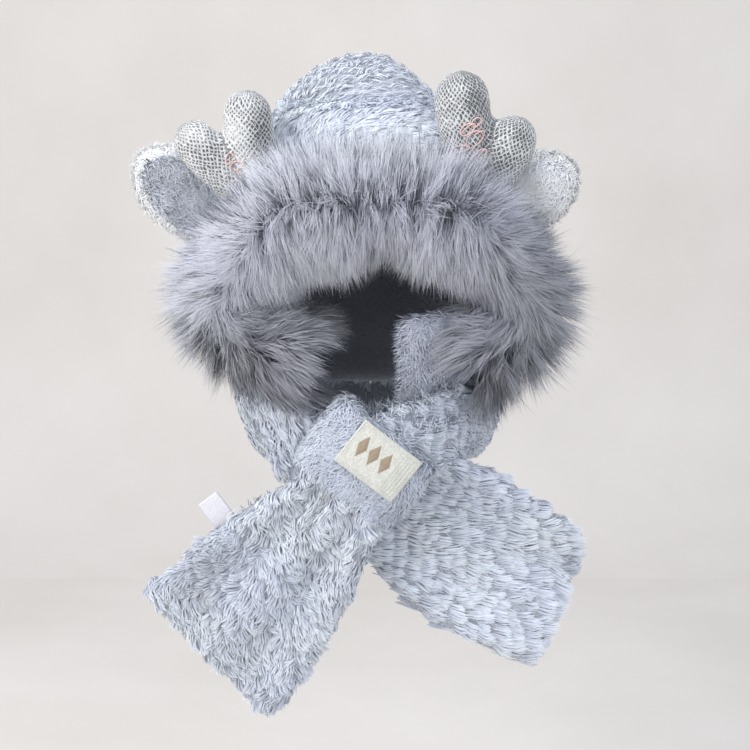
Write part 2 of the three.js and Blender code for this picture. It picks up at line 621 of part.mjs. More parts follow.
function ruffSolid() {
  const place = (share) => ruffPath(lerp(RUFF_SPAN.left, RUFF_SPAN.right, share));
  const samples = Array.from({ length: BACKING_STEPS + 1 }, (_, i) => place(i / BACKING_STEPS));
  const length = samples.reduce((sum, p, i) => sum + (i ? p.centre.distanceTo(samples[i - 1].centre) : 0), 0);
  const backing = solidOf(
    loft(
      samples.map((p) =>
        Array.from({ length: BACKING_SIDES }, (_, i) => {
          const angle = (2 * Math.PI * i) / BACKING_SIDES;
          return p.centre
            .clone()
            .addScaledVector(p.ahead, Math.cos(angle) * RUFF_BACKING_RADIUS)
            .addScaledVector(p.out, Math.sin(angle) * RUFF_BACKING_RADIUS);
        }),
      ),
    ),
  );
  const columns = Math.round(length / LOCK_SPACING);
  const locks = [];
  LOCK_ROWS.forEach((row, r) => {
    for (let i = 0; i < columns; i++) {
      const share = (i + (r % 2 ? 0.75 : 0.25)) / columns;
      const onBrow = Math.abs(lerp(RUFF_SPAN.left, RUFF_SPAN.right, share)) < BROW_HALF;
      const { angle, comb } = onBrow ? row.brow : row.cheek;
      locks.push(lock(place(share), angle, comb, row.length));
    }
  });
  for (const end of [-1, 1]) {
    const path = place(end < 0 ? 0 : 1);
    for (const angle of [90, 30, -30, -90]) locks.push(lock(path, angle, 0, 0.9, end * 42));
    locks.push(lock(path, 0, 0, 0.95, end * 72));
  }
  return wasm.Manifold.union([backing, ...locks]);
}
const ruffNeighbours = [
  ...hoodBodies,
  frontHalfGrown,
  rearHalfGrown,
  keeperGrown,
  grown(facingWhole),
  ...Object.values(ears).flatMap((ear) => ear.whole),
  ...Object.values(antlers).map((antler) => antler.whole),
];
const ruff = cut(ruffSolid(), ruffNeighbours);

// Care label: a blank tab of tape sewn into the upper edge of the front tail
const LABEL_PLACE = { x: -0.9, z: -0.3 };
const LABEL_RISE = 53;
const LABEL_SEWN = 8;
const LABEL_CURL = 2;
function labelSolid() {
  const root = keeperCentre.clone().add(vec(LABEL_PLACE.x * FRONT_TAIL_REACH, 0, LABEL_PLACE.z * FRONT_TAIL_DROP));
  const run = vec(-Math.cos(radians(LABEL_RISE)), 0, Math.sin(radians(LABEL_RISE)));
  const breadth = vec(run.z, 0, -run.x);
  const stations = [-LABEL_SEWN, 0, (LABEL_LENGTH - LABEL_SEWN) / 2, LABEL_LENGTH - LABEL_SEWN];
  const rings = stations.map((at, i) =>
    [[-0.5, -0.5], [0.5, -0.5], [0.5, 0.5], [-0.5, 0.5]].map(([a, b]) =>
      root
        .clone()
        .addScaledVector(run, at)
        .addScaledVector(breadth, a * LABEL_BREADTH)
        .add(vec(0, b * LABEL_THICKNESS + (i === stations.length - 1 ? LABEL_CURL : 0), 0)),
    ),
  );
  return solidOf(loft(rings));
}
const label = cut(labelSolid(), [frontHalfGrown]);

const NODES = [
  { name: "hood_front_panel", solid: frontPanel, finish: "front_plush" },
  { name: "hood_back_panel", solid: backPanel, finish: "plush" },
  { name: "fur_ruff", solid: ruff, finish: "fur" },
  { name: "throat_facing", solid: facing, finish: "facing" },
  { name: "ear_left_face", solid: ears.left.face, finish: "ear_grey" },
  { name: "ear_left_back", solid: ears.left.back, finish: "ear_rim" },
  { name: "ear_right_face", solid: ears.right.face, finish: "ear_pale" },
  { name: "ear_right_back", solid: ears.right.back, finish: "ear_rim" },
  { name: "antler_left", solid: antlers.left.body, finish: "woven" },
  { name: "antler_right", solid: antlers.right.body, finish: "woven" },
  { name: "scarf_front_half", solid: frontHalf, finish: "plush" },
  { name: "scarf_rear_half", solid: rearHalf, finish: "plush" },
  { name: "keeper_band", solid: keeper, finish: "front_plush" },
  { name: "label_patch", solid: patch, finish: "patch" },
  { name: "care_label", solid: label, finish: "tape" },
];

const scarf = new THREE.Group();
for (const { name, solid, finish } of NODES) {
  const material = new THREE.MeshStandardMaterial({ ...COLOURS[finish], metalness: 0 });
  const mesh = new THREE.Mesh(geometryOf(solid), material);
  mesh.name = name;
  scarf.add(mesh);
}

export default scarf;
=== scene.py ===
"""Looks of the animal hood scarf: plush, long fur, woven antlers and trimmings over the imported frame."""

import math

import bpy
import numpy as np
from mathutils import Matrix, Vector
from mathutils.bvhtree import BVHTree


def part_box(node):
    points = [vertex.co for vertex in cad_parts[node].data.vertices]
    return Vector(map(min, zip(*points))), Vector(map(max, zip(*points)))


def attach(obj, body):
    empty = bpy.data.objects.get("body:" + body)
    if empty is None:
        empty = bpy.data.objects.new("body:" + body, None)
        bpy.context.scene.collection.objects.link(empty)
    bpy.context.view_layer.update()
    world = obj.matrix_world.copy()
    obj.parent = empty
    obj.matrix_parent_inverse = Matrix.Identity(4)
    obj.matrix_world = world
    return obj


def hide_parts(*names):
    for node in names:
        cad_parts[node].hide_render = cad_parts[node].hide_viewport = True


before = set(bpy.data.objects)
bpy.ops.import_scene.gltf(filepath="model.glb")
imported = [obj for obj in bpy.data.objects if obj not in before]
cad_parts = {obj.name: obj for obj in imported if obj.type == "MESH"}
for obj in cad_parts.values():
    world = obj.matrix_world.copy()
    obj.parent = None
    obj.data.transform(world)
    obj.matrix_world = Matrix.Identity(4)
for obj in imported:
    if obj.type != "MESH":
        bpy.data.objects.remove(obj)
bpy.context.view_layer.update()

MM = 0.001


# Small helpers


def unit(v):
    return v / np.maximum(np.linalg.norm(v, axis=-1, keepdims=True), 1e-9)


def flat_on(direction, normal):
    """The direction with its part along the normal taken out, as unit vectors."""
    direction = np.broadcast_to(direction, normal.shape)
    return unit(direction - (direction * normal).sum(-1, keepdims=True) * normal)


def smoothstep(low, high, x):
    t = np.clip((x - low) / (high - low), 0, 1)
    return t * t * (3 - 2 * t)


def turned(u, v, degrees):
    """u turned towards v by that many degrees."""
    angle = np.radians(degrees)[..., None]
    return u * np.cos(angle) + v * np.sin(angle)


def xyz(x, y, z):
    """Rows of three numbers, where each of them may be one number or a list."""
    return np.stack(np.broadcast_arrays(x, y, z), axis=-1)


def waves(points, size, seed):
    """Smooth noise from -1 to 1 over places in mm, as a sum of a few waves."""
    made = np.random.default_rng(seed)
    total = np.zeros(len(points))
    for _ in range(6):
        way = unit(made.normal(size=3)) * made.uniform(0.6, 1.6) * 2 * np.pi / size
        total += np.sin(points @ way + made.uniform(0, 2 * np.pi))
    return np.clip(total / 3, -1, 1)


def read_mesh(data):
    """Places in mm and triangles of a mesh."""
    data.calc_loop_triangles()
    places = np.empty(len(data.vertices) * 3, np.float32)
    data.vertices.foreach_get("co", places)
    triangles = np.empty(len(data.loop_triangles) * 3, np.int32)
    data.loop_triangles.foreach_get("vertices", triangles)
    return places.reshape(-1, 3).astype(float) / MM, triangles.reshape(-1, 3)


def vertex_normals(places, triangles):
    a, b, c = places[triangles.T]
    face = np.cross(b - a, c - a)
    total = np.zeros_like(places)
    for corner in range(3):
        np.add.at(total, triangles[:, corner], face)
    return unit(total)


def new_mesh(name, places, faces):
    """An object from places in mm and faces that all have as many corners."""
    data = bpy.data.meshes.new(name)
    faces = np.asarray(faces, np.int32)
    data.vertices.add(len(places))
    data.vertices.foreach_set("co", np.ascontiguousarray(places * MM, np.float32).ravel())
    data.loops.add(faces.size)
    data.loops.foreach_set("vertex_index", faces.ravel())
    data.polygons.add(len(faces))
    data.polygons.foreach_set("loop_start", np.arange(0, faces.size, faces.shape[1], dtype=np.int32))
    data.update(calc_edges=True)
    data.polygons.foreach_set("use_smooth", np.ones(len(faces), bool))
    made = bpy.data.objects.new(name, data)
    bpy.context.scene.collection.objects.link(made)
    return made


def tube_faces(rings, sides):
    """Four-cornered faces between rings of as many places each."""
    first = np.arange(sides)
    second = (first + 1) % sides
    span = np.stack([first, second, second + sides, first + sides], axis=1)
    return (span[None] + (np.arange(rings - 1) * sides)[:, None, None]).reshape(-1, 4)


def sheet_faces(number):
    """Four-cornered faces between neighbours in a table of the places' numbers."""
    corners = [number[:-1, :-1], number[1:, :-1], number[1:, 1:], number[:-1, 1:]]
    return np.stack(corners, axis=-1).reshape(-1, 4)


def round_angles(sides):
    """Angles all round, as a column."""
    return np.linspace(0, 2 * np.pi, sides, endpoint=False)[:, None]


def give(made, name, values):
    """A number for each vertex, that a material reads by its name."""
    own = made.data.attributes.new(name, "FLOAT", "POINT")
    own.data.foreach_set("value", np.ascontiguousarray(values, np.float32))


def bend_normals(made, normals):
    made.data.normals_split_custom_set_from_vertices(unit(normals).astype(np.float32))


def settle(made, material, slot, *nodes):
    """Gives a piece its material and body, and hides the CAD nodes that it stands for; slot is not used."""
    made.data.materials.append(material)
    if nodes:
        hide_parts(*nodes)
    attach(made, "root")
    return made


def move_to(made, places):
    made.data.vertices.foreach_set("co", (places * MM).astype(np.float32).ravel())
    made.data.update()


def applied(made):
    """The piece with its modifiers turned into its mesh."""
    bpy.context.view_layer.update()
    shape = bpy.data.meshes.new_from_object(made.evaluated_get(bpy.context.evaluated_depsgraph_get()))
    made.modifiers.clear()
    made.data = shape
    return made


# Materials


def srgb(red, green, blue):
    """A colour given from 0 to 255, as linear numbers."""
    values = np.array([red, green, blue]) / 255
    return (*np.where(values <= 0.04045, values / 12.92, ((values + 0.055) / 1.055) ** 2.4), 1)


class Tree:
    """A material's nodes with short calls for the links between them."""

    def __init__(self, name):
        self.material = bpy.data.materials.new(name)
        self.material.use_nodes = True
        self.nodes = self.material.node_tree.nodes
        self.shader = self.nodes["Principled BSDF"]

    def add(self, kind, **values):
        node = self.nodes.new("ShaderNode" + kind)
        for name, value in values.items():
            setattr(node, name, value)
        return node

    def link(self, start, end):
        self.material.node_tree.links.new(start, end)

    def put(self, **values):
        for name, value in values.items():
            self.shader.inputs[name.replace("_", " ")].default_value = value

    def attribute(self, name):
        return self.add("Attribute", attribute_name=name).outputs["Fac"]

    def noise(self, scale, detail=3.0, rough=0.55):
        node = self.add("TexNoise")
        node.inputs["Scale"].default_value = scale
        node.inputs["Detail"].default_value = detail
        node.inputs["Roughness"].default_value = rough
        self.link(self.add("TexCoord").outputs["Object"], node.inputs["Vector"])
        return node.outputs["Fac"]

    def ramp(self, source, *stops):
        node = self.add("ValToRGB")
        points = node.color_ramp.elements
        while len(points) < len(stops):
            points.new(0.5)
        for point, (at, colour) in zip(points, stops):
            point.position = at
            point.color = colour
        self.link(source, node.inputs["Fac"])
        return node.outputs["Color"]

    def mix(self, amount, first, second, way="MIX"):
        node = self.add("Mix", data_type="RGBA", blend_type=way)
        for value, spot in ((amount, node.inputs[0]), (first, node.inputs[6]), (second, node.inputs[7])):
            if isinstance(value, (float, int, tuple)):
                spot.default_value = value
            else:
                self.link(value, spot)
        return node.outputs[2]

    def spread(self, source, low, high, out_low, out_high):
        node = self.add("MapRange")
        for name, value in (("From Min", low), ("From Max", high), ("To Min", out_low), ("To Max", out_high)):
            node.inputs[name].default_value = value
        self.link(source, node.inputs["Value"])
        return node.outputs["Result"]

    def bump(self, source, strength, distance):
        node = self.add("Bump")
        node.inputs["Strength"].default_value = strength
        node.inputs["Distance"].default_value = distance
        self.link(source, node.inputs["Height"])
        self.link(node.outputs["Normal"], self.shader.inputs["Normal"])


LAVENDER = (0.95, 0.95, 1.0, 1)


def fibre_material(name, root, middle, tip, patches=LAVENDER, sheen=0.25, tip_at=0.75):
    """Pile or fur: light tips, roots darker by the hair's own colour and by painted shade, a shade for each
    strand and slow drifts of hue.
    """
    tree = Tree(name)
    stops = (0.0, srgb(*root)), (0.45, srgb(*middle)), (tip_at, srgb(*tip))
    along = tree.ramp(tree.attribute("tone"), *stops)
    drift = tree.mix(tree.spread(tree.noise(17.0, 2.0), 0.35, 0.65, 0.0, 1.0), along, patches, "MULTIPLY")
    shade = tree.add("HueSaturation")
    tree.link(drift, shade.inputs["Color"])
    tree.link(tree.attribute("shade"), shade.inputs["Value"])
    tree.link(shade.outputs["Color"], tree.shader.inputs["Base Color"])
    tree.put(Roughness=0.62, Sheen_Weight=sheen, Sheen_Roughness=0.4)
    tree.shader.inputs["Specular IOR Level"].default_value = 0.25
    return tree.material


def ground_material(name, low, high, bump=0.6):
    """The cloth under the pile: matt, mottled, and darker than the pile, as painted shade in the dips between
    tufts and on the inside.
    """
    tree = Tree(name)
    colour = tree.ramp(tree.attribute("tone"), (0.0, low), (1.0, high))
    grain = tree.noise(420.0, 4.0)
    colour = tree.mix(tree.spread(grain, 0.3, 0.7, 0.0, 1.0), colour, (0.8, 0.8, 0.83, 1), "MULTIPLY")
    tree.link(colour, tree.shader.inputs["Base Color"])
    tree.put(Roughness=0.9, Sheen_Weight=0.3)
    tree.bump(grain, bump, 0.002)
    return tree.material


def cloth_material(name, low, high, scale, detail, roughness, sheen, bump=None):
    """Cloth or thread with a fine grain. bump is its strength and its depth in metres."""
    tree = Tree(name)
    grain = tree.noise(scale, detail)
    tree.link(tree.ramp(grain, (0.3, srgb(*low)), (0.7, srgb(*high))), tree.shader.inputs["Base Color"])
    tree.put(Roughness=roughness, Sheen_Weight=sheen)
    if bump:
        tree.bump(grain, *bump)
    return tree.material


plush_ground = ground_material("plush ground", srgb(122, 125, 134), srgb(188, 194, 204))
white_ground = ground_material("white ground", srgb(222, 227, 229), srgb(244, 247, 248))
fur_ground = ground_material("fur ground", srgb(158, 160, 171), srgb(172, 175, 187))
plush_pile = fibre_material("plush pile", (186, 192, 203), (214, 221, 230), (233, 239, 244))
facing_pile = fibre_material("facing pile", (124, 127, 138), (172, 176, 189), (206, 211, 222))
keeper_pile = fibre_material("keeper pile", (174, 180, 192), (199, 206, 217), (220, 227, 235))
fur_hair = fibre_material(
    "fur hair", (140, 142, 153), (182, 185, 197), (232, 235, 243), (0.95, 0.94, 0.99, 1), 0.3, 0.95
)
grey_pile = fibre_material(
    "grey pile", (104, 108, 118), (172, 177, 187), (218, 223, 230), (0.92, 0.92, 0.96, 1)
)
pale_pile = fibre_material(
    "pale pile", (236, 241, 251), (250, 252, 255), (255, 255, 255), (0.98, 0.99, 1.0, 1), 0.5
)
white_pile = fibre_material(
    "white pile", (238, 241, 242), (249, 251, 251), (255, 255, 255), (0.99, 1.0, 1.0, 1), 0.5
)
pink_yarn = fibre_material(
    "pink yarn", (204, 162, 158), (225, 188, 183), (238, 210, 206), (1.0, 0.95, 0.94, 1)
)


# Strands


def bent_lines(roots, normals, comb, length, lift, fall, steps, curl=0.0, rng=None):
    """Lines that leave the surface at `lift` degrees and end at `fall` degrees to it."""
    side = np.cross(normals, comb)
    lines = [roots]
    for step in range(steps):
        share = (step + 0.5) / steps
        way = turned(comb, normals, lift + (fall - lift) * share)
        if rng is not None:
            way = unit(way + side * (curl * rng.normal(size=len(roots)) * share)[:, None])
        lines.append(lines[-1] + way * (length / steps)[:, None])
    return np.stack(lines, axis=1)


def ribbons(name, lines, widths, shades, outward, rng, tones=None, soft=0.92):
    """One joined mesh of tapering ribbons. lines is (strands, points, 3) in mm, outward a way for each."""
    count, points = lines.shape[:2]
    outward = np.broadcast_to(outward[:, None] if outward.ndim == 2 else outward, lines.shape)
    ways = unit(np.gradient(lines, axis=1))
    across = unit(np.cross(ways, outward))
    roll = rng.uniform(-30, 30, (count, 1)) * np.ones(points)
    across = turned(across, np.cross(ways, across), roll)
    faces_out = unit(np.cross(across, ways))
    flip = np.sign((faces_out * outward).sum(-1, keepdims=True))
    flip[flip == 0] = 1
    normals = unit(outward * soft + faces_out * flip * (1 - soft))
    taper = np.array([0.8, *np.linspace(1, 0.75, points - 2)])
    half = widths[:, None] * taper / 2
    left = lines[:, :-1] - across[:, :-1] * half[..., None]
    right = lines[:, :-1] + across[:, :-1] * half[..., None]
    places = np.concatenate([left, right, lines[:, -1:]], axis=1)
    bent = np.concatenate([normals[:, :-1], normals[:, :-1], normals[:, -1:]], axis=1)
    rows = points - 1
    pattern = []
    for i in range(rows - 1):
        pattern += [[i, rows + i, rows + i + 1], [i, rows + i + 1, i + 1]]
    pattern.append([rows - 1, 2 * rows - 1, 2 * rows])
    faces = np.array(pattern)[None] + (np.arange(count) * (2 * rows + 1))[:, None, None]
    over = flip[:, 0, 0] < 0
    faces[over] = faces[over][..., ::-1]
    made = new_mesh(name, places.reshape(-1, 3), faces.reshape(-1, 3))
    share = np.linspace(0, 1, points) if tones is None else tones
    share = np.broadcast_to(share, (count, points))
    tone = np.concatenate([share[:, :-1], share[:, :-1], share[:, -1:]], axis=1)
    give(made, "tone", tone.ravel())
    give(made, "shade", np.repeat(shades, 2 * rows + 1))
    bend_normals(made, bent.reshape(-1, 3))
    return made


# Base forms


def shell(node, name, voxel, rounds, swell=0.0):
    """A copy of a CAD node with an even mesh and its facets smoothed away."""
    made = bpy.data.objects.new(name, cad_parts[node].data.copy())
    made.data.materials.clear()
    bpy.context.scene.collection.objects.link(made)
    grid = made.modifiers.new("grid", "REMESH")
    grid.mode, grid.voxel_size = "VOXEL", voxel * MM
    ease = made.modifiers.new("ease", "SMOOTH")
    ease.factor, ease.iterations = 0.5, rounds
    applied(made)
    made.data.polygons.foreach_set("use_smooth", np.ones(len(made.data.polygons), bool))
    if swell:
        places, triangles = read_mesh(made.data)
        move_to(made, places + vertex_normals(places, triangles) * swell)
    return made


def stuffed(made, cap, pressure=4.0, frames=20):
    """Blows a closed form up as cloth, with no point moved by more than cap mm, and rounds its mesh once."""
    before = read_mesh(made.data)[0]
    cloth = made.modifiers.new("cloth", "CLOTH")
    cloth.settings.quality, cloth.settings.mass = 4, 0.3
    cloth.settings.use_pressure, cloth.settings.uniform_pressure_force = True, pressure
    cloth.settings.effector_weights.gravity = 0
    cloth.point_cache.frame_end = frames
    for number in range(1, frames + 1):
        bpy.context.scene.frame_set(number)
    applied(made)
    move = read_mesh(made.data)[0] - before
    far = np.maximum(np.linalg.norm(move, axis=1, keepdims=True), 1e-6)
    move_to(made, before + move * np.minimum(1, cap / far))
    bpy.context.scene.frame_set(1)
    finer = made.modifiers.new("finer", "SUBSURF")
    finer.levels = 1
    return applied(made)


class Surface:
    """A piece's surface, to place tufts and fibres on."""

    def __init__(self, *pieces):
        places, triangles, start = [], [], 0
        for piece in pieces:
            own, faces = read_mesh(piece.data)
            places.append(own)
            triangles.append(faces + start)
            start += len(own)
        self.places, self.triangles = np.concatenate(places), np.concatenate(triangles)
        self.normals = vertex_normals(self.places, self.triangles)
        self.tree = BVHTree.FromPolygons(self.places.tolist(), self.triangles.tolist())

    def scatter(self, count, rng, wanted=None):
        """Random places by area, times wanted(places, normals) where it is given."""
        a, b, c = self.places[self.triangles.T]
        size = np.linalg.norm(np.cross(b - a, c - a), axis=1)
        middle = (a + b + c) / 3
        facing = unit(np.cross(b - a, c - a))
        if wanted is not None:
            size = size * wanted(middle, facing)
        picked = rng.choice(len(size), count, p=size / size.sum())
        first, second = rng.random((2, count))
        over = first + second > 1
        first[over], second[over] = 1 - first[over], 1 - second[over]
        spot = a[picked] + (b - a)[picked] * first[:, None] + (c - a)[picked] * second[:, None]
        corners = self.normals[self.triangles[picked]]
        normal = unit(
            corners[:, 0] * (1 - first - second)[:, None]
            + corners[:, 1] * first[:, None]
            + corners[:, 2] * second[:, None]
        )
        return spot, normal

    def cast(self, starts, ways):
        """The first hits of rays: places, normals and which rays hit."""
        places, normals, hits = [], [], []
        for i, (start, way) in enumerate(zip(starts, ways)):
            spot, _, face, _ = self.tree.ray_cast(Vector(start), Vector(way))
            if spot is None:
                continue
            corners = self.triangles[face]
            near = unit(self.normals[corners].sum(0))
            places.append(spot[:])
            normals.append(near)
            hits.append(i)
        return np.array(places).reshape(-1, 3), np.array(normals).reshape(-1, 3), np.array(hits, int)

    def cast_level(self, axis, start, way, first, second):
        """Hits of rays along axis 0 or 1 from start, with the other two places first and second."""
        starts = np.insert(np.stack([first, second], axis=1), axis, start, axis=1)
        return self.cast(starts, np.broadcast_to(np.eye(3)[axis] * way, starts.shape))


def tufts(centres, normals, comb, size, rng, fibres, height=4.2, wild=0.05, dim=None, crisp=0.0, sway=11.0):
    """Domed tufts of fibres that arch over and end along one curved line, like scales.

    size is (along, across) in mm. Returns lines, widths, shades and outward.
    """
    width = 0.9
    count = len(centres)
    turn = rng.normal(0, sway, count)
    comb = turned(comb, np.cross(normals, comb), turn)
    across = np.cross(normals, comb)
    grow = rng.uniform(0.9, 1.24, (count, 1))
    root, side = rng.uniform(-0.6, 0.28, (count, fibres)), rng.uniform(-0.52, 0.52, (count, fibres))
    crown = 1 - 0.72 * (1.9 * side) ** 2
    end = 0.8 - 0.6 * side**2 + rng.normal(0, 0.1 - 0.05 * crisp, (count, fibres))
    end += rng.uniform(-0.14, 0.14, (count, 1))
    back = (0.28 - root) / 0.88
    rise = height * grow * (0.45 + 0.55 * back) * np.clip(crown, 0.2, 1)
    rise += rng.normal(0, 0.25, (count, fibres))

    def spot(a, b, h):
        return (
            centres[:, None]
            + comb[:, None] * (a * size[0] * grow)[..., None]
            + across[:, None] * (b * size[1] * grow)[..., None]
            + normals[:, None] * h[..., None]
        )

    bend = rng.normal(0, wild, (count, fibres))
    first = spot(root, side * 0.85, -0.8 + 0 * rise)
    peak = spot(root * 0.45 + end * 0.55, side + bend, rise)
    last = spot(end, side * 1.04 + bend * 2, (0.34 - 0.18 * crisp) * rise + 0.3)
    lines = np.stack([first, peak, last], axis=2).reshape(-1, 3, 3)
    lean = (across[:, None] * (side * 0.9)[..., None]).reshape(-1, 3)
    normal, way = np.repeat(normals, fibres, axis=0), np.repeat(comb, fibres, axis=0)
    outward = unit(np.stack([normal + way * ahead + lean for ahead in (-0.2, 0.05, 0.5)], axis=1))
    shades = rng.uniform(0.95, 1.04, count) * (1 if dim is None else dim)
    shades = np.repeat(shades, fibres) * rng.uniform(0.92, 1.05, count * fibres)
    return lines, width * rng.uniform(0.8, 1.2, len(lines)), shades, outward


def joined(parts):
    return [np.concatenate(column) for column in zip(*parts)]


def floor_and_backdrop():
    half, near, turn, top, floor_z = 3000.0, 1200.0, 500.0, 2500.0, -760.0
    ground = xyz([-half, half, half, -half], [-half, -half, near, near], floor_z)
    rows = []
    for angle in np.radians(np.linspace(0, 90, 13)):
        y, z = near + turn * np.sin(angle), floor_z + turn * (1 - np.cos(angle))
        rows.append([[-half, y, z], [half, y, z]])
    rows.append([[-half, near + turn, top], [half, near + turn, top]])
    sweep = np.array(rows).reshape(-1, 3)
    faces = [[2 * i, 2 * i + 1, 2 * i + 3, 2 * i + 2] for i in range(len(rows) - 1)]
    tree = Tree("studio paper")
    patches = tree.spread(tree.noise(3.0, 4.0), 0.3, 0.7, 0.0, 1.0)
    tree.link(tree.mix(patches, srgb(214, 210, 204), srgb(222, 218, 213)), tree.shader.inputs["Base Color"])
    tree.put(Roughness=0.95)
    for name, places, quads in (("floor", ground, [[0, 1, 2, 3]]), ("backdrop", sweep, faces)):
        made = new_mesh(name, places, quads)
        made.data.materials.append(tree.material)


def lamp(name, place, target, size, power, colour):
    light = bpy.data.lights.new(name, "AREA")
    light.size, light.energy, light.color = size, power, colour
    made = bpy.data.objects.new(name, light)
    made.location = Vector(place) * MM
    made.rotation_euler = (Vector(target) - Vector(place)).to_track_quat("-Z", "Y").to_euler()
    bpy.context.scene.collection.objects.link(made)


# Camera: its place in mm, the degrees that it looks down, and its lens and sensor in mm
CAMERA_PLACE = (4.5, -1278.4, -83.53)
CAMERA_PITCH = 7.0
CAMERA_LENS = 67.2
CAMERA_SENSOR = 36


def light_and_camera():
    scene = bpy.context.scene
    world = bpy.data.worlds.new("studio")
    world.use_nodes = True
    world.node_tree.nodes["Background"].inputs["Color"].default_value = (0.86, 0.9, 1.0, 1)
    world.node_tree.nodes["Background"].inputs["Strength"].default_value = 0.68
    scene.world = world
    lamp("window", (-1500, -1300, 700), (0, 0, -220), 1.3, 37, (1.0, 0.98, 0.96))
    lamp("fill", (1500, -1200, 100), (0, 0, -250), 1.6, 9, (0.93, 0.96, 1.0))
    lamp("top", (200, 100, 1500), (0, 0, -200), 1.4, 16, (0.96, 0.98, 1.0))
    scene.view_settings.view_transform = "Standard"
    camera = bpy.data.cameras.new("camera")
    camera.lens, camera.sensor_width, camera.clip_start = CAMERA_LENS, CAMERA_SENSOR, 0.05
    made = bpy.data.objects.new("camera", camera)
    made.location = Vector(CAMERA_PLACE) * MM
    made.rotation_euler = (math.radians(90 - CAMERA_PITCH), 0, 0)
    scene.collection.objects.link(made)
    scene.camera = made


# Ruff

# The hood's surface by the same rule as in the part's source: its first four arches, from the face edge to
# the crown, each half in shares of half width, depth and height, and how far each leans to the right
HOOD_SIZE = np.array([112.0, 200.0, 300.0])
HOOD_WALL = 11.0
SEW_IN = 3.0
ARCH_LINES = {
    # face, brow, seam, crown
    "base": [(0.41, -0.38, -0.735), (0.5, -0.28, -0.787), (0.62, -0.17, -0.81), (0.7, 0.02, -0.827)],
    "cheek": [(0.95, -0.28, -0.635), (0.9, -0.15, -0.627), (0.86, 0, -0.593), (0.83, 0.19, -0.583)],
    "wide": [(1.06, -0.25, -0.5), (1, -0.14, -0.407), (0.9, -0.01, -0.267), (0.88, 0.19, -0.24)],
    "shoulder": [(0.7, -0.365, -0.34), (0.64, -0.22, -0.22), (0.57, -0.07, -0.02), (0.395, 0.16, 0.066)],
    "top": [(0, -0.39, -0.288), (0, -0.25, -0.16), (0, -0.09, -0.003), (0, 0.15, 0.147)],
}
HOOD_ARCHES = np.swapaxes(np.array(list(ARCH_LINES.values())), 0, 1)
HOOD_LEANS = np.array([0, -0.02, -0.06, -0.09])

# The ruff along the face edge, and its hair, in mm
RUFF_SPAN = (-0.91, 0.84)
RUFF_FORWARD = 6.0
RUFF_STATIONS = 15
RUFF_STEPS = 160
BACKING_RADIUS = 21.0
BACKING_SIDES = 20
HAIR_LENGTH = 55.0


def through(rows, at):
    """Rows of numbers on a smooth curve through rows. at is 0 at the second row, and 1 more at each next."""
    at = np.atleast_1d(at)
    first = np.clip(at.astype(int), 0, len(rows) - 4)
    t = (at - first).reshape(-1, *[1] * (rows.ndim - 1))
    a, b, c, d = (rows[first + i] for i in range(4))
    low, high = (c - a) / 2, (d - b) / 2
    return (2 * b - 2 * c + low + high) * t**3 + (3 * c - 3 * b - 2 * low - high) * t**2 + low * t + b


def hood_inner(u, v):
    """Inner surface of the hood: u from the left neck corner (-1) to the right (1), v from arch to arch."""
    half = through(np.concatenate([HOOD_ARCHES[:1], HOOD_ARCHES]), v)[0]
    lean = through(np.concatenate([HOOD_LEANS[:1], HOOD_LEANS]), v)[0]
    shift = np.outer([0, 0, lean / 2, lean, 0], [1, 0, 0])
    line = np.concatenate([half * [-1, 1, 1] + shift, (half + shift)[-2::-1]]) * HOOD_SIZE
    line = np.concatenate([2 * line[:1] - line[1:2], line, 2 * line[-1:] - line[-2:-1]])
    return through(line, (np.atleast_1d(u) + 1) * (len(half) - 1))


def hood_frame(u, v, step=0.01):
    """Unit ways of the hood's surface: out of it, and ahead towards the face."""
    across = unit(hood_inner(np.minimum(u + step, 1), v) - hood_inner(np.maximum(u - step, -1), v))
    back = unit(hood_inner(u, v + step) - hood_inner(u, max(v - step, 0)))
    return unit(np.cross(across, back)), -back


def hood_point(u, v, rise):
    return (hood_inner(u, v) + hood_frame(u, v)[0] * rise)[0]


def ruff_frames():
    """The ruff's path at even steps: middles, ways out, ahead and along."""
    u = np.linspace(*RUFF_SPAN, RUFF_STATIONS)
    out, ahead = hood_frame(u, 0)
    middle = hood_inner(u, 0) + out * HOOD_WALL / 2 + ahead * RUFF_FORWARD
    at = np.concatenate([[0], np.cumsum(np.linalg.norm(np.diff(middle, axis=0), axis=1))])
    fine = np.linspace(0, at[-1], RUFF_STEPS)
    rows = np.stack([np.interp(fine, at, column) for column in np.hstack([middle, out]).T], axis=1)
    kernel = np.hanning(15) / np.hanning(15).sum()
    wider = np.concatenate([rows[:1].repeat(7, 0), rows, rows[-1:].repeat(7, 0)])
    eased = np.stack([np.convolve(column, kernel, "valid") for column in wider.T], axis=1)
    fade = np.linspace(1, 0, RUFF_STEPS)[:, None] ** 4
    for end, share in ((0, fade), (-1, fade[::-1])):
        eased[:, :3] += (rows[end, :3] - eased[end, :3]) * share
    middle = eased[:, :3]
    along = unit(np.gradient(middle, axis=0))
    out = flat_on(eased[:, 3:], along)
    ahead = np.cross(along, out)
    ahead *= -np.sign(ahead[:, [1]])
    return middle, out, ahead, along


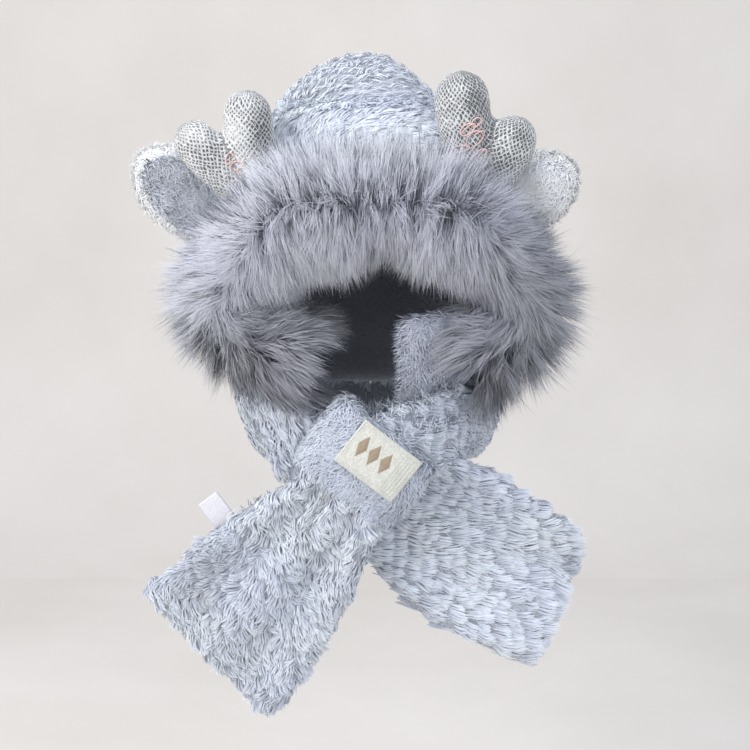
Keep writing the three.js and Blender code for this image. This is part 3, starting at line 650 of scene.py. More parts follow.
def ruff_backing():
    """A soft tube under the hair, with a blunt tip at each end."""
    frames = ruff_frames()
    middle, out, ahead, _ = (rows[::2] for rows in frames)
    radius = BACKING_RADIUS + 5
    angle = round_angles(BACKING_SIDES)
    ring = middle[:, None] + (out[:, None] * np.sin(angle) + ahead[:, None] * np.cos(angle)) * radius
    tips = [frames[0][end] + frames[3][end] * away * radius * 0.8 for end, away in ((0, -1), (-1, 1))]
    places = np.concatenate([ring.reshape(-1, 3), tips])
    quads = tube_faces(len(middle), BACKING_SIDES)
    first = np.arange(BACKING_SIDES)
    second = (first + 1) % BACKING_SIDES
    last = (len(middle) - 1) * BACKING_SIDES
    caps = [xyz(second, first, len(places) - 2), xyz(last + first, last + second, len(places) - 1)]
    triangles = np.concatenate([quads[:, :3], quads[:, [0, 2, 3]], *caps])
    made = new_mesh("ruff_backing", places, triangles)
    a, b, c = places[triangles[0]]
    if np.cross(b - a, c - a) @ (a - middle[0]) < 0:
        made.data.flip_normals()
    give(made, "tone", np.zeros(len(places)))
    settle(made, fur_ground, "fur", "fur_ruff")


def ruff_hair(clumps, per_clump, seed, length, name, width=0.6, steps=3, guard=0.0):
    """Clumps of hair combed away from the parting: up and back outside it, down and in inside it."""
    rng = np.random.default_rng(seed)
    middle, out, ahead, along = ruff_frames()
    last = len(middle) - 1
    at = rng.uniform(-0.035, 1.035, clumps)
    clipped = np.clip(at, 0, 1)
    spot = clipped * last
    low = np.minimum(spot.astype(int), last - 1)
    part = (spot - low)[:, None]

    def take(rows):
        return rows[low] * (1 - part) + rows[low + 1] * part

    centre = take(middle)
    way_out, way_ahead, way_along = (unit(take(rows)) for rows in (out, ahead, along))
    brow = smoothstep(0.27, 0.4, clipped) * smoothstep(0.77, 0.64, clipped)
    parting = 14 + 62 * brow + 9 * np.sin(clipped * 19 + 1) + 5 * np.sin(clipped * 47)
    parting += rng.normal(0, 13, clumps)
    cheek = 1 - brow
    angle = -98 + (234 + 54 * cheek) * rng.random(clumps)
    angle = np.where(rng.random(clumps) < 0.14, parting + rng.normal(0, 16, clumps), angle)
    side = angle - parting
    inner_end = -20 - 28 * cheek + side * 0.3
    outer_end = 60 + 52 * brow + side * (0.5 - 0.15 * brow)
    outside = smoothstep(-11, 11, side)
    comb = inner_end + (outer_end - inner_end) * outside - angle + rng.normal(0, 9, clumps)
    past = (at - clipped) / 0.035
    cheek_left, cheek_right = smoothstep(0.38, 0.24, clipped), smoothstep(0.62, 0.76, clipped)
    end_left, end_right = smoothstep(0.3, 0.02, clipped), smoothstep(0.84, 1.0, clipped)
    near_parting = np.exp(-((side / 30) ** 2))
    drift = 13 * np.sin(clipped * 31 + angle * 0.045) + 8 * np.sin(clipped * 63 - angle * 0.07)
    drift *= 1 - 0.6 * near_parting
    flow = cheek_right * (84 - 56 * outside) - 22 * cheek_left
    flow -= 40 * end_left * (1 - outside) + 6 * end_right
    tip_left = smoothstep(0.16, 0.0, clipped) * outside
    flow += 30 * past + drift + rng.normal(0, 8, clumps) - 60 * tip_left
    under = smoothstep(30, -70, angle) * (1 - 0.5 * cheek)
    by_ear = np.exp(-(((np.abs(centre[:, 0]) - 100) / 24) ** 2)) * outside
    by_ear *= smoothstep(-165, -140, centre[:, 2])
    low_left = smoothstep(0.2, 0.06, clipped) * smoothstep(-10, 40, angle) * (1 - tip_left)
    long = length * rng.uniform(0.8, 1.08, clumps)
    long *= (1 - 0.34 * under) * (1 - 0.36 * by_ear) * (1 - 0.34 * low_left)
    long *= 1 - 0.34 * brow * (1 - outside) * np.exp(-(((centre[:, 0] - 16) / 24) ** 2))
    shade = rng.uniform(0.94, 1.05, clumps) * (1 + 0.03 * np.sin(clipped * 40 + angle * 0.06))
    # Painted shade: darker on the right cheek, at the low left end and on the inside of the brow, where the
    # ruff lies in shade.
    shade *= 0.93 * (1 - 0.38 * smoothstep(0.62, 0.82, clipped)) * (1 - 0.4 * smoothstep(0.24, 0.08, clipped))
    shade *= 1 - 0.07 * brow * (1 - outside)
    spread = rng.normal(0, 1, (clumps, per_clump, 3)) * 3.0
    grow = rng.uniform(0.84, 1.12, (clumps, per_clump))
    tilt = rng.normal(0, 6.5 + 8 * guard, (clumps, per_clump))
    swing = rng.normal(0, 7.5 + 9 * guard, (clumps, per_clump))
    base = turned(way_ahead, way_out, angle)
    roots = centre + base * (BACKING_RADIUS - 2) + way_along * (past * 14)[:, None]
    lines = [roots[:, None] + spread]
    for step in range(steps):
        share = (step + 0.5) / steps
        turn = angle[:, None] + comb[:, None] * (0.3 + 0.7 * share**0.8) + tilt * share
        sideways = np.radians(flow[:, None] * (0.35 + 0.65 * share) + swing * share)
        radians = np.radians(turn)[..., None]
        way = way_ahead[:, None] * np.cos(radians) + way_out[:, None] * np.sin(radians)
        way = way * np.cos(sideways)[..., None] + way_along[:, None] * np.sin(sideways)[..., None]
        way[..., 2] -= 0.06 * share
        step_long = (long[:, None] * grow / steps)[..., None]
        lines.append(lines[-1] + unit(way) * step_long - spread * 0.42 / steps)
    lines = np.stack(lines, axis=2).reshape(-1, steps + 1, 3)
    outward = unit(
        np.repeat(turned(way_ahead, way_out, angle + comb * 0.4), per_clump, axis=0)
        + rng.normal(0, 0.1, (clumps * per_clump, 3))
    )
    widths = width * rng.uniform(0.7, 1.3, len(lines))
    shades = np.repeat(shade, per_clump) * rng.uniform(0.92, 1.08, len(lines))
    lift = np.repeat(0.42 * near_parting, per_clump)[:, None]
    tones = lift + (1 - lift) * np.linspace(0, 1, steps + 1)
    settle(ribbons(name, lines, widths, shades, outward, rng, tones, 0.8), fur_hair, "fur")


ruff_backing()
ruff_hair(1850, 17, 11, HAIR_LENGTH, "ruff_hair_a")
ruff_hair(2000, 18, 12, HAIR_LENGTH * 0.88, "ruff_hair_b", 0.62, 2)
ruff_hair(1900, 4, 13, HAIR_LENGTH * 1.06, "ruff_guard_hair", 0.42, 3, 1.0)


# Plush


def grid(first, second):
    """All pairs of two lists of numbers."""
    a, b = np.meshgrid(first, second, indexing="ij")
    return a.ravel(), b.ravel()


def brick(low, high, size, rng, jitter=0.14):
    """Places of a brick bond over a rectangle: every other column is shifted by half a brick."""
    columns = np.arange(low[0], high[0], size[0])
    rows = np.arange(low[1], high[1], size[1])
    a, b = grid(columns, rows)
    column = np.round((a - low[0]) / size[0]).astype(int)
    b = b + (column % 2) * size[1] / 2
    a = a + rng.normal(0, jitter, len(a)) * size[0]
    b = b + rng.normal(0, jitter, len(a)) * size[1]
    return a, b


def plush_ground_of(node, name, voxel=4.2, rounds=10, swell=-1.2, material=None, slot="plush", hollow=None):
    """The cloth of a piece. hollow is a middle in mm: what faces it is the inside, darkened with painted
    shade.
    """
    made = shell(node, name, voxel, rounds, swell)
    places, triangles = read_mesh(made.data)
    tone = 0.75 + 0.25 * waves(places, 60, 5)
    # Painted shade: faces on the inside of the hollow are darkened, as the inside lies in shade.
    if hollow is not None:
        away = places - hollow
        facing = (unit(away * [1, 1, 0.3]) * vertex_normals(places, triangles)).sum(1)
        painted_shade_inside = (np.linalg.norm(away[:, :2], axis=1) < 150) & (facing < 0.12)
        tone *= 1 - 0.72 * painted_shade_inside * smoothstep(-330, -300, places[:, 2])
    give(made, "tone", tone)
    return settle(made, material or plush_ground, slot, node)


def pile(name, parts, rng, material, slot):
    lines, widths, shades, outward = joined(parts)
    made = ribbons(name, lines, widths, shades, outward, rng)
    return settle(made, material, slot)


def loose(surface, count, rng, comb, length, wanted=None, lift=50, fall=-10, width=1.0, wild=30, mottle=0.0):
    """Fibres scattered one by one, to fill what the tufts leave bare."""
    roots, normals = surface.scatter(count, rng, wanted)
    way = flat_on(comb(roots, normals) if callable(comb) else comb, normals)
    way = turned(way, np.cross(normals, way), rng.normal(0, wild, count))
    long = length * rng.uniform(0.7, 1.2, count)
    lifts = lift + rng.normal(0, 9, count)
    falls = np.full(count, float(fall))
    lines = bent_lines(roots - normals * 0.6, normals, way, long, lifts, falls, 2, 0.3, rng)
    outward = np.repeat(unit(normals + way * 0.1)[:, None], 3, axis=1)
    shades = rng.uniform(0.94, 1.05, count) * (1 + mottle * waves(roots, 16, 7))
    return lines, width * rng.uniform(0.7, 1.2, count), shades, outward


# The scarf, in mm: the neck inside its collar, the heights of the collar's tufts, and a place ahead of it
NECK_RADIUS = 105.0
NECK_Y = 8.0
COLLAR_HEIGHTS = (-352.0, -236.0)
FRONT_START = -320.0


def tail(surface, box, back_y, comb_of, pitch, size, rng, fibres, dim_of=None, **more):
    """Tufts on both sides of a flat tail, cast from the front and from a plane behind it."""
    parts = []
    for start_y, way, share, jitter in ((FRONT_START, 1.0, 1.0, 0.2), (back_y, -1.0, 0.4, 0.1)):
        x, z = brick(box[:2], box[2:], pitch, rng, jitter)
        places, normals, _ = surface.cast_level(1, start_y, way, x, z)
        comb = flat_on(comb_of(places), normals)
        if way < 0:
            tip_x, _, tip_z = (places + comb * size[0] * 0.8).T
            kept = surface.cast_level(1, start_y, way, tip_x, tip_z)[2]
            places, normals, comb = places[kept], normals[kept], comb[kept]
        dim = dim_of(places) if dim_of else None
        parts.append(tufts(places, normals, comb, size, rng, int(fibres * share), dim=dim, **more))
    return parts


def collar(surface, turns, size, rng, fibres, down, **more):
    """Tufts round the neck, cast from outside towards the middle of the neck."""
    low, high = COLLAR_HEIGHTS
    round_by, z = brick((turns[0] * NECK_RADIUS, low), (turns[1] * NECK_RADIUS, high), size, rng)
    angle = round_by / NECK_RADIUS
    outward = xyz(np.sin(angle), -np.cos(angle), 0)
    middle = xyz(0, NECK_Y, z)
    places, normals, hits = surface.cast(middle + outward * 260, -outward)
    outer = (((places - middle[hits]) * outward[hits]).sum(1) > 40) & (normals[:, 2] < 0.94)
    places, normals, hits = places[outer], normals[outer], hits[outer]
    along = xyz(np.cos(angle), np.sin(angle), 0)[hits]
    top = smoothstep(0.2, 0.75, normals[:, 2])[:, None]
    comb = flat_on((along + [0, 0, down]) * (1 - top) + (outward[hits] + along * 0.5) * top, normals)
    return tufts(places, normals, comb, (size[0] * 1.12, size[1] * 1.1), rng, fibres, **more)


def front_dent(places):
    """How deep a place lies in the dent at the upper left of the front tail."""
    return np.exp(-((places[:, 0] + 134) ** 2 + (places[:, 2] + 382) ** 2) / (2 * 22.0**2))


def front_comb(places):
    """The front tail is combed down in waves, and to the left in its dent."""
    drift = waves(places, 60, 31) + 0.7 * waves(places, 26, 34)
    dent = front_dent(places)
    return xyz(0.12 + 0.5 * drift - 1.6 * dent, 0, -1 + 0.9 * dent)


def front_painted_shade(places):
    """Painted shade of the front tail: dark in its dent and beside the fold below the keeper, with painted
    light just right of the fold, and slow drifts of tone.
    """
    start, run, long = np.array([-21.0, -308.0]), unit(np.array([-27.0, -44.0])), 58.0
    away = places[:, [0, 2]] - start
    along = away @ run
    off = away @ np.array([-run[1], run[0]])
    ends = smoothstep(-8, 6, along) * smoothstep(long + 22, long - 12, along)
    fold_shade = 0.26 * np.exp(-(((off + 2) / 3.5) ** 2)) + 0.08 * smoothstep(-34, -4, off) * (off < 0)
    light = 1 - 0.24 * front_dent(places) - ends * fold_shade + 0.05 * ends * (off > 2)
    return light * (1 + 0.05 * waves(places, 70, 33))


def rear_comb(places):
    """The rear tail is combed to the right and a little down."""
    return xyz(1.0, 0, -0.14 + 0.2 * waves(places, 90, 32))


def rear_dim(places):
    """Shade of the rear tail: lighter towards its low end."""
    return (0.98 + 0.13 * smoothstep(-370, -450, places[:, 2])) * (1 + 0.05 * waves(places, 80, 36))


def close_nape(ground, side):
    """Draws the two halves together behind the neck, where one seam holds them."""
    places = read_mesh(ground.data)[0]
    near = (places[:, 1] > 60) * smoothstep(14, 1, np.abs(places[:, 0]))
    places[:, 0] -= side * near * (1.8 + 4.4 * smoothstep(-268, -240, places[:, 2]))
    move_to(ground, places)


def scarf_half(node, side, seed):
    """side 1 is the front half, with the right collar and the left tail, and -1 the rear half."""
    rng = np.random.default_rng(seed)
    ground = plush_ground_of(node, node + "_ground", hollow=np.array([0.0, NECK_Y, -290.0]))
    close_nape(ground, side)
    surface = Surface(ground)
    if side > 0:
        comb = front_comb
        box, look = (-205.0, -535.0, 4.0, -262.0), {"wild": 0.12, "height": 4.4, "sway": 24.0}
        parts = tail(surface, box, -96.0, comb, (7.2, 7.6), (10.4, 7.8), rng, 28, front_painted_shade, **look)
        turns, down = (0.05, 3.17), -0.12
    else:
        comb = rear_comb
        box, look = (-2.0, -500.0, 205.0, -262.0), {"crisp": 0.7}
        parts = tail(surface, box, -58.0, comb, (12.6, 8.4), (14.2, 9.0), rng, 46, rear_dim, **look)
        turns, down = (-3.17, -0.05), -1.6
    parts.append(collar(surface, turns, (12.4, 8.4), rng, 36, down))

    def wanted(places, normals):
        radial = normals[:, 0] * places[:, 0] + normals[:, 1] * (places[:, 1] - NECK_Y)
        in_tail = places[:, 0] * side < 0
        shown = in_tail | (radial > -20) | (np.abs(normals[:, 2]) > 0.5) | (places[:, 2] < -305)
        return shown * np.where(in_tail & (np.abs(normals[:, 1]) < 0.55), 3.5, 1.0)

    def beside(places, normals):
        on_side = (np.abs(places[:, 0]) > 72) & (places[:, 2] > -350) & (places[:, 0] * side > 0)
        return wanted(places, normals) * on_side

    def throat(places, normals):
        in_front = (places[:, 1] < -55) & (np.abs(places[:, 0]) < 76)
        return (normals[:, 2] > 0.1) * in_front * (places[:, 2] > -305) + 0.0

    parts.append(loose(surface, 5600, rng, lambda places, normals: comb(places), 8.0, wanted, 44, -10, 0.6))
    parts.append(loose(surface, 1700, rng, np.array([0.3, 0.3, -1.0]), 12.0, beside, 40, -12, 0.9, 24, 0.1))
    parts.append(loose(surface, 1500, rng, np.array([0.0, -0.8, 0.5]), 15.0, throat, 74, 30, 0.8, 50, 0.1))
    hair = pile(node + "_pile", parts, rng, plush_pile, "plush")


scarf_half("scarf_front_half", 1, 41)
scarf_half("scarf_rear_half", -1, 42)


def close_seam(first, second, reach=9.0):
    """Draws two cloths together along the seam that holds them."""
    trees = [Surface(first).tree, Surface(second).tree]
    for ground, tree in ((first, trees[1]), (second, trees[0])):
        places = read_mesh(ground.data)[0]
        for i, place in enumerate(places):
            spot, _, _, away = tree.find_nearest(Vector(place), reach)
            if spot is not None:
                places[i] += (np.array(spot) - place) * (0.5 * smoothstep(reach, 0, away))
        move_to(ground, places)


# The hood's tufts: their size in mm, and the drum round the ears' line that the rows from ear to ear lie on
HOOD_TUFT = (11.0, 8.2)
DRUM_RADIUS = 140.0
DRUM_MIDDLE = (20.0, -110.0)
HOOD_HALF = 112.0


def hood_top(surface, rng, fibres, front):
    """Rows of tufts from ear to ear, over the brow, the crown and the back."""
    size = (HOOD_TUFT[1] * 1.1, HOOD_TUFT[0] * 0.9)
    round_by, x = brick((-0.75 * DRUM_RADIUS, -HOOD_HALF), (3.6 * DRUM_RADIUS, HOOD_HALF), size, rng)
    angle = round_by / DRUM_RADIUS
    outward = xyz(0, -np.cos(angle), np.sin(angle))
    middle = xyz(x, *DRUM_MIDDLE)
    places, normals, hits = surface.cast(middle + outward * 300, -outward)
    keep = (np.abs(normals[:, 0]) < 0.9) & ((normals * outward[hits]).sum(1) > 0.2)
    keep &= ((places - middle[hits]) * outward[hits]).sum(1) > 0
    places, normals, hits = places[keep], normals[keep], hits[keep]
    up = xyz(0, np.sin(angle[hits]), np.cos(angle[hits]))
    lean = np.radians(8 + 50 * smoothstep(50, -50, places[:, 0]))[:, None]
    comb = flat_on(np.array([-1.0, 0, 0]) * np.cos(lean) - up * np.sin(lean), normals)
    dim, height = (1.1, (2.6 + 1.8 * smoothstep(10, 42, places[:, 2]))[:, None]) if front else (0.97, 4.4)
    return tufts(places, normals, comb, (12.4, 9.0), rng, fibres, height, dim=dim, wild=0.08, sway=16.0)


def hood_side(surface, rng, fibres, way):
    """Tufts where the rows run out at one side, cast along way: 1 from the left and -1 from the right."""
    y, z = brick((-100.0, -262.0), (125.0, 60.0), HOOD_TUFT, rng)
    places, normals, _ = surface.cast_level(0, -way * 300, way, y, z)
    keep = (normals[:, 0] * -way > 0.62) & ((places[:, 0] * -way) > 40)
    places, normals = places[keep], normals[keep]
    comb = flat_on(np.array([0.0, 0.8, -0.6]), normals)
    return tufts(places, normals, comb, HOOD_TUFT, rng, fibres)


def hood_nape(surface, rng, fibres):
    """Tufts low on the back, or nothing where the piece doesn't reach."""
    x, z = brick((-HOOD_HALF, -262.0), (HOOD_HALF, -150.0), HOOD_TUFT, rng)
    places, normals, _ = surface.cast_level(1, 300.0, -1.0, x, z)
    keep = (normals[:, 1] > 0.35) & (places[:, 1] > 30)
    places, normals = places[keep], normals[keep]
    comb = flat_on(np.array([-0.6, 0.0, -0.8]), normals)
    return [tufts(places, normals, comb, (14.0, 9.2), rng, fibres)] if len(places) else []


def hood_pile(ground, name, fibres, slot, near, rng):
    """The pile of one panel, with longer fibres by the other one, whose surface is near."""
    surface = Surface(ground)
    parts = [hood_top(surface, rng, fibres, slot == "front_plush")]
    parts += [hood_side(surface, rng, fibres, way) for way in (-1.0, 1.0)]
    parts += hood_nape(surface, rng, fibres)

    def wanted(places, normals):
        away = places - [0, 20, -120]
        return ((normals * away).sum(1) > 0).astype(float)

    def by_seam(places, normals):
        reach = [near.find_nearest(Vector(place))[3] for place in places]
        return wanted(places, normals) * (np.array(reach) < 7)

    parts.append(loose(surface, 3600, rng, np.array([0.0, 0.5, -1.0]), 7.5, wanted, 46, -14, 0.6))
    parts.append(loose(surface, 2000, rng, np.array([-0.5, -0.5, -0.6]), 11.0, by_seam, 40, -8, 0.8))
    hair = pile(name, parts, rng, plush_pile, slot)


def hood():
    """The two panels, drawn together at their seam before the pile goes on."""
    rng = np.random.default_rng(51)
    middle = np.array([0.0, 10.0, -130.0])
    front, back = (
        plush_ground_of(f"hood_{side}_panel", f"hood_{side}_ground", voxel, rounds, -0.8, None, slot, middle)
        for side, voxel, rounds, slot in (("front", 4.2, 10, "front_plush"), ("back", 5.6, 8, "plush"))
    )
    close_seam(front, back)
    near_front, near_back = Surface(front).tree, Surface(back).tree
    hood_pile(front, "hood_front_pile", 31, "front_plush", near_back, rng)
    hood_pile(back, "hood_back_pile", 10, "plush", near_front, rng)


hood()


# Keeper and facing

# The keeper by the source's rule, in mm: its sizes, its turn down to the right, its middle below the hood's
# edge behind the neck, and its ways along and across
NECK_HEIGHT = -260.0
COLLAR_HEIGHT = 84.0
KEEPER_LENGTH = 104.0
KEEPER_BREADTH = 67.0
KEEPER_TURN = np.radians(38)
KEEPER_MIDDLE = np.array([
    -0.02 * HOOD_SIZE[0],
    -0.635 * HOOD_SIZE[1],
    NECK_HEIGHT - 0.43 * COLLAR_HEIGHT,
])
KEEPER_LONG = np.array([np.cos(KEEPER_TURN), 0.0, -np.sin(KEEPER_TURN)])
KEEPER_WIDE = np.array([-np.sin(KEEPER_TURN), 0.0, -np.cos(KEEPER_TURN)])


def keeper():
    rng = np.random.default_rng(61)
    ground = plush_ground_of("keeper_band", "keeper_ground", 2.6, 12, -1.0, None, "keeper_plush")
    surface = Surface(ground)

    def outside(places, normals):
        away = places - KEEPER_MIDDLE
        away = away - (away @ KEEPER_WIDE)[:, None] * KEEPER_WIDE
        return ((normals * unit(away)).sum(1) > -0.3) + 0.02

    def comb(places, normals):
        drift = waves(places, 45, 62)[:, None]
        return KEEPER_WIDE + KEEPER_LONG * drift * 0.9

    parts = [loose(surface, 13000, rng, comb, 10.5, outside, 42, -14, 0.75, 30, 0.1)]
    pile("keeper_pile", parts, rng, keeper_pile, "keeper_plush")


def facing():
    rng = np.random.default_rng(63)
    ground = plush_ground_of("throat_facing", "facing_ground", 2.4, 30, 0.4, None, "facing_plush")
    surface = Surface(ground)
    way = np.array([0.25, 0.0, -1.0])
    low, high = surface.places.min(0), surface.places.max(0)

    def edge(places, normals):
        x, z = places[:, 0], places[:, 2]
        return np.where((x < low[0] + 12) | (z < low[2] + 14) | (z > high[2] - 16), 1.0, 0.01)

    parts = [loose(surface, 7400, rng, way, 10.0, None, 42, -4, 0.7, 34, 0.12)]
    parts.append(loose(surface, 3200, rng, np.array([-0.75, -0.5, -0.6]), 14.0, edge, 34, -12, 0.7, 30))
    pile("facing_pile", parts, rng, facing_pile, "facing_plush")


keeper()
facing()


# Ears

# Ears by the source's rule: where each stands on the hood, how its tip is raised and turned in degrees, and
# its length as a share of a whole ear's
EAR_LENGTH = 108.0
EARS = {
    # u, v, raised, turned, length
    "left": (-0.46, 1.1, 36, 184, 0.97),
    "right": (0.43, 1.15, 32, -8, 0.74),
}


def ear(side, seed, face_pile, face_slot, face_ground, drift, mottle):
    """One ear: its face in front, and the fluffy back that shows round the rim."""
    rng = np.random.default_rng(seed)
    u, v, raised, turn, long = EARS[side]
    level = np.radians(turn)
    tip = turned(xyz(np.cos(level), np.sin(level), 0), np.array([0, 0, 1.0]), raised)
    middle = hood_point(u, v, HOOD_WALL) + tip * long * EAR_LENGTH * 0.45
    name = f"ear_{side}"
    face = plush_ground_of(name + "_face", name + "_face_ground", 2.4, 10, -0.6, face_ground, face_slot)
    back = plush_ground_of(name + "_back", name + "_back_ground", 2.4, 10, -0.8, white_ground, "ear_rim")

    def inwards(places, normals):
        return -tip * 0.8 + unit(middle - places) * 0.7 + np.array([0, 0, -0.3])

    def outwards(places, normals):
        """Over the rim towards the face in front, and away from the ear's middle behind."""
        return (unit(places - middle) * 0.7 + tip) * np.where(normals[:, [1]] < -0.15, -0.8, 1.0)

    def front(places, normals):
        return (normals[:, 1] < 0.35) + 0.05

    def edge(places, normals):
        return np.where(normals[:, 1] < 0.5, 3.0, 1.0)

    def by_rim(places, normals):
        reach = np.array([rim.tree.find_nearest(Vector(place))[3] for place in places])
        return smoothstep(8.5, 4.0, reach) * (normals[:, 1] < 0.3)

    surface, rim = Surface(face), Surface(back)
    low, high = surface.places.min(0), surface.places.max(0)
    x, z = brick(low[[0, 2]], high[[0, 2]], (9.5, 7.5), rng)
    places, normals, _ = surface.cast_level(1, -300.0, 1.0, x, z)
    comb = flat_on(inwards(places, normals), normals)
    dim = drift[0] + drift[1] * waves(places, 24, seed)
    parts = [tufts(places, normals, comb, (10.5, 8.0), rng, 44, 4.2, dim=dim, wild=0.06)]
    parts.append(loose(surface, 5000, rng, inwards, 15.0, front, 46, -6, 0.7, 34, mottle))
    pile(name + "_face_pile", parts, rng, face_pile, face_slot)

    def away(places, normals):
        return places - middle

    parts = [loose(rim, 4800, rng, outwards, 9.5, edge, 56, 4, 0.95, 34)]
    parts.append(loose(surface, 1700, rng, away, 9.0, by_rim, 62, 14, 1.0, 40))
    pile(name + "_rim_pile", parts, rng, white_pile, "ear_rim")


ear("left", 71, grey_pile, "ear_grey", plush_ground, (0.92, 0.13), 0.22)
ear("right", 72, pale_pile, "ear_pale", plush_ground, (1.0, 0.05), 0.08)


# Antlers

# Antlers by the source's rule: where each stands on the hood, then the round ends of its tall and short lobes
# from there, in shares of the height, and their widths in shares of a lobe's width
ANTLER_HEIGHT = 104.0
LOBE_WIDTH = 50.0
ANTLERS = {
    # u, v, then x, y, z and width of each lobe
    "left": (-0.33, 0.75, ((-0.06, -0.1, 0.76, 0.94), (-0.5, -0.1, 0.53, 0.86))),
    "right": (0.33, 0.75, ((-0.16, -0.1, 0.88, 1.06), (0.27, -0.1, 0.55, 0.94))),
}
CELL = 3.7


def woven_material():
    tree = Tree("woven yarn")
    place = tree.add("Attribute", attribute_name="weave").outputs["Vector"]
    parts = tree.add("SeparateXYZ")
    tree.link(place, parts.inputs[0])

    def sum_of(kind, first, second=None):
        node = tree.add("Math", operation=kind)
        for value, spot in zip((first, second), node.inputs):
            if value is None:
                continue
            if isinstance(value, (int, float)):
                spot.default_value = value
            else:
                tree.link(value, spot)
        return node.outputs[0]

    wobble = sum_of("MULTIPLY", sum_of("SUBTRACT", tree.noise(120.0, 2.0), 0.5), 1.7)
    u, v = (sum_of("ADD", parts.outputs[i], wobble) for i in range(2))
    waves_u, waves_v = (sum_of("ABSOLUTE", sum_of("SINE", sum_of("MULTIPLY", w, math.pi))) for w in (u, v))
    hole = sum_of("MINIMUM", waves_u, waves_v)
    twist = sum_of("SINE", sum_of("MULTIPLY", sum_of("ADD", u, v), 26.0))
    rough = sum_of("SUBTRACT", sum_of("MULTIPLY", twist, 0.05), hole)
    slow = sum_of("MULTIPLY", sum_of("SUBTRACT", tree.noise(45.0, 1.0), 0.5), 0.9)
    # The weave's third part is painted shade, which darkens the yarn towards the holes' colour.
    holes_and_painted_shade = sum_of("ADD", sum_of("ADD", hole, slow), sum_of("MULTIPLY", parts.outputs[2], 0.3))
    yarn = (0.34, srgb(248, 249, 249)), (0.62, srgb(224, 226, 227))
    colour = tree.ramp(holes_and_painted_shade, *yarn, (0.8, srgb(158, 160, 161)), (1.0, srgb(88, 92, 92)))
    fuzz = tree.noise(900.0, 3.0)
    colour = tree.mix(tree.spread(fuzz, 0.35, 0.7, 0.0, 0.6), colour, (0.86, 0.87, 0.88, 1), "MULTIPLY")
    tree.link(colour, tree.shader.inputs["Base Color"])
    tree.put(Roughness=0.85, Sheen_Weight=0.4)
    tree.bump(rough, 1.0, 0.0012)
    return tree.material


woven = woven_material()


def tubes(name, paths, radius, sides=6):
    """Yarn as one joined mesh of tubes along lists of places in mm."""
    places, faces, start = [], [], 0
    angle = round_angles(sides)
    for path in paths:
        ways = unit(np.gradient(path, axis=0))
        side = flat_on(np.array([0.13, 0.31, 0.94]), ways)
        up = np.cross(ways, side)
        ease = np.full((len(path), 1, 1), radius)
        ease[[0, -1]] *= 0.4
        ring = path[:, None] + ease * (side[:, None] * np.cos(angle) + up[:, None] * np.sin(angle))
        places.append(ring.reshape(-1, 3))
        faces.append(tube_faces(len(path), sides) + start)
        start += len(path) * sides
    return new_mesh(name, np.concatenate(places), np.concatenate(faces))


def weave_and_painted_shade(side, places):
    """Where each place lies in the weave of its lobe: two ways in cells, and the painted shade there."""
    u, v, lobes = ANTLERS[side]
    base = hood_point(u, v, HOOD_WALL - SEW_IN)
    near = []
    for *end, width in lobes:
        run = np.array(end) * ANTLER_HEIGHT
        long, radius = np.linalg.norm(run), width * LOBE_WIDTH / 2
        run = unit(run)
        reach = (places - base) @ run
        across = unit(np.cross(run, [0.0, -1.0, 0.0]))
        away = places - base - np.clip(reach, 0, long)[:, None] * run
        turn = np.arctan2(away @ across, away @ np.cross(across, run))
        near.append((np.linalg.norm(away, axis=1) / radius, reach, turn * radius))
    tall = near[0][0] < near[1][0]
    along, around = (np.where(tall, near[0][i], near[1][i]) for i in (1, 2))
    # Painted shade: darker round one side of the tall lobe, and on the whole right antler, which lies in
    # shade.
    shadow = np.where(tall, smoothstep(-4, 14, near[0][2]), 0.3) + (0.5 if side == "right" else 0)
    slanted = np.sqrt(0.5) / CELL
    return xyz((along + around) * slanted, (along - around) * slanted, shadow)


def antler(side, seed, loops):
    """One stuffed antler, its fuzz and its pink yarn. loops are x, z, half width, half height and turns."""
    rng = np.random.default_rng(seed)
    made = stuffed(shell(f"antler_{side}", f"antler_{side}_woven", 4.2, 4, -0.6), 3.0)
    weave = made.data.attributes.new("weave", "FLOAT_VECTOR", "POINT")
    places = read_mesh(made.data)[0]
    weave.data.foreach_set("vector", weave_and_painted_shade(side, places).astype(np.float32).ravel())
    settle(made, woven, "woven", f"antler_{side}")
    surface = Surface(made)
    parts = [loose(surface, 4200, rng, np.array([0.3, 0.0, 1.0]), 2.6, None, 38, 10, 0.28, 80)]
    pile(f"antler_{side}_fuzz", parts, rng, white_pile, "woven")
    paths = []
    for x, z, half_wide, half_high, turns in loops:
        angle = np.linspace(0.4, 0.4 + turns * 2 * np.pi, int(26 * turns))
        spots = x + half_wide * np.cos(angle), z + half_high * np.sin(angle * 1.13)
        hit, normal, _ = surface.cast_level(1, -300.0, 1.0, *spots)
        if len(hit) > 6:
            wave = 0.8 + 0.7 * np.sin(np.linspace(0, 9, len(hit)))
            paths.append(hit + normal * wave[:, None])
    yarn = tubes(f"antler_{side}_yarn", paths, 0.6)
    give(yarn, "tone", rng.uniform(0.4, 1.0, len(yarn.data.vertices)))
    give(yarn, "shade", np.ones(len(yarn.data.vertices)))
    settle(yarn, pink_yarn, "woven")


antler("left", 81, [(-113, -52, 6, 4, 1.1), (-119, -46, 4, 5, 0.8), (-108, -56, 5, 3, 0.7)])
right_loops = [(83, -22, 6, 5, 1.4), (89, -30, 7, 7, 1.2), (77, -38, 9, 3, 0.9), (94, -44, 5, 6, 1.3)]
antler("right", 82, [*right_loops, (90, -16, 4, 4, 1.0)])


# Patch and label


# Stitches: where each ring of a thread lies along it, and its size
THREAD_RINGS = ((-0.5, 0.2), (-0.36, 0.8), (0.0, 1.0), (0.36, 0.8), (0.5, 0.2))

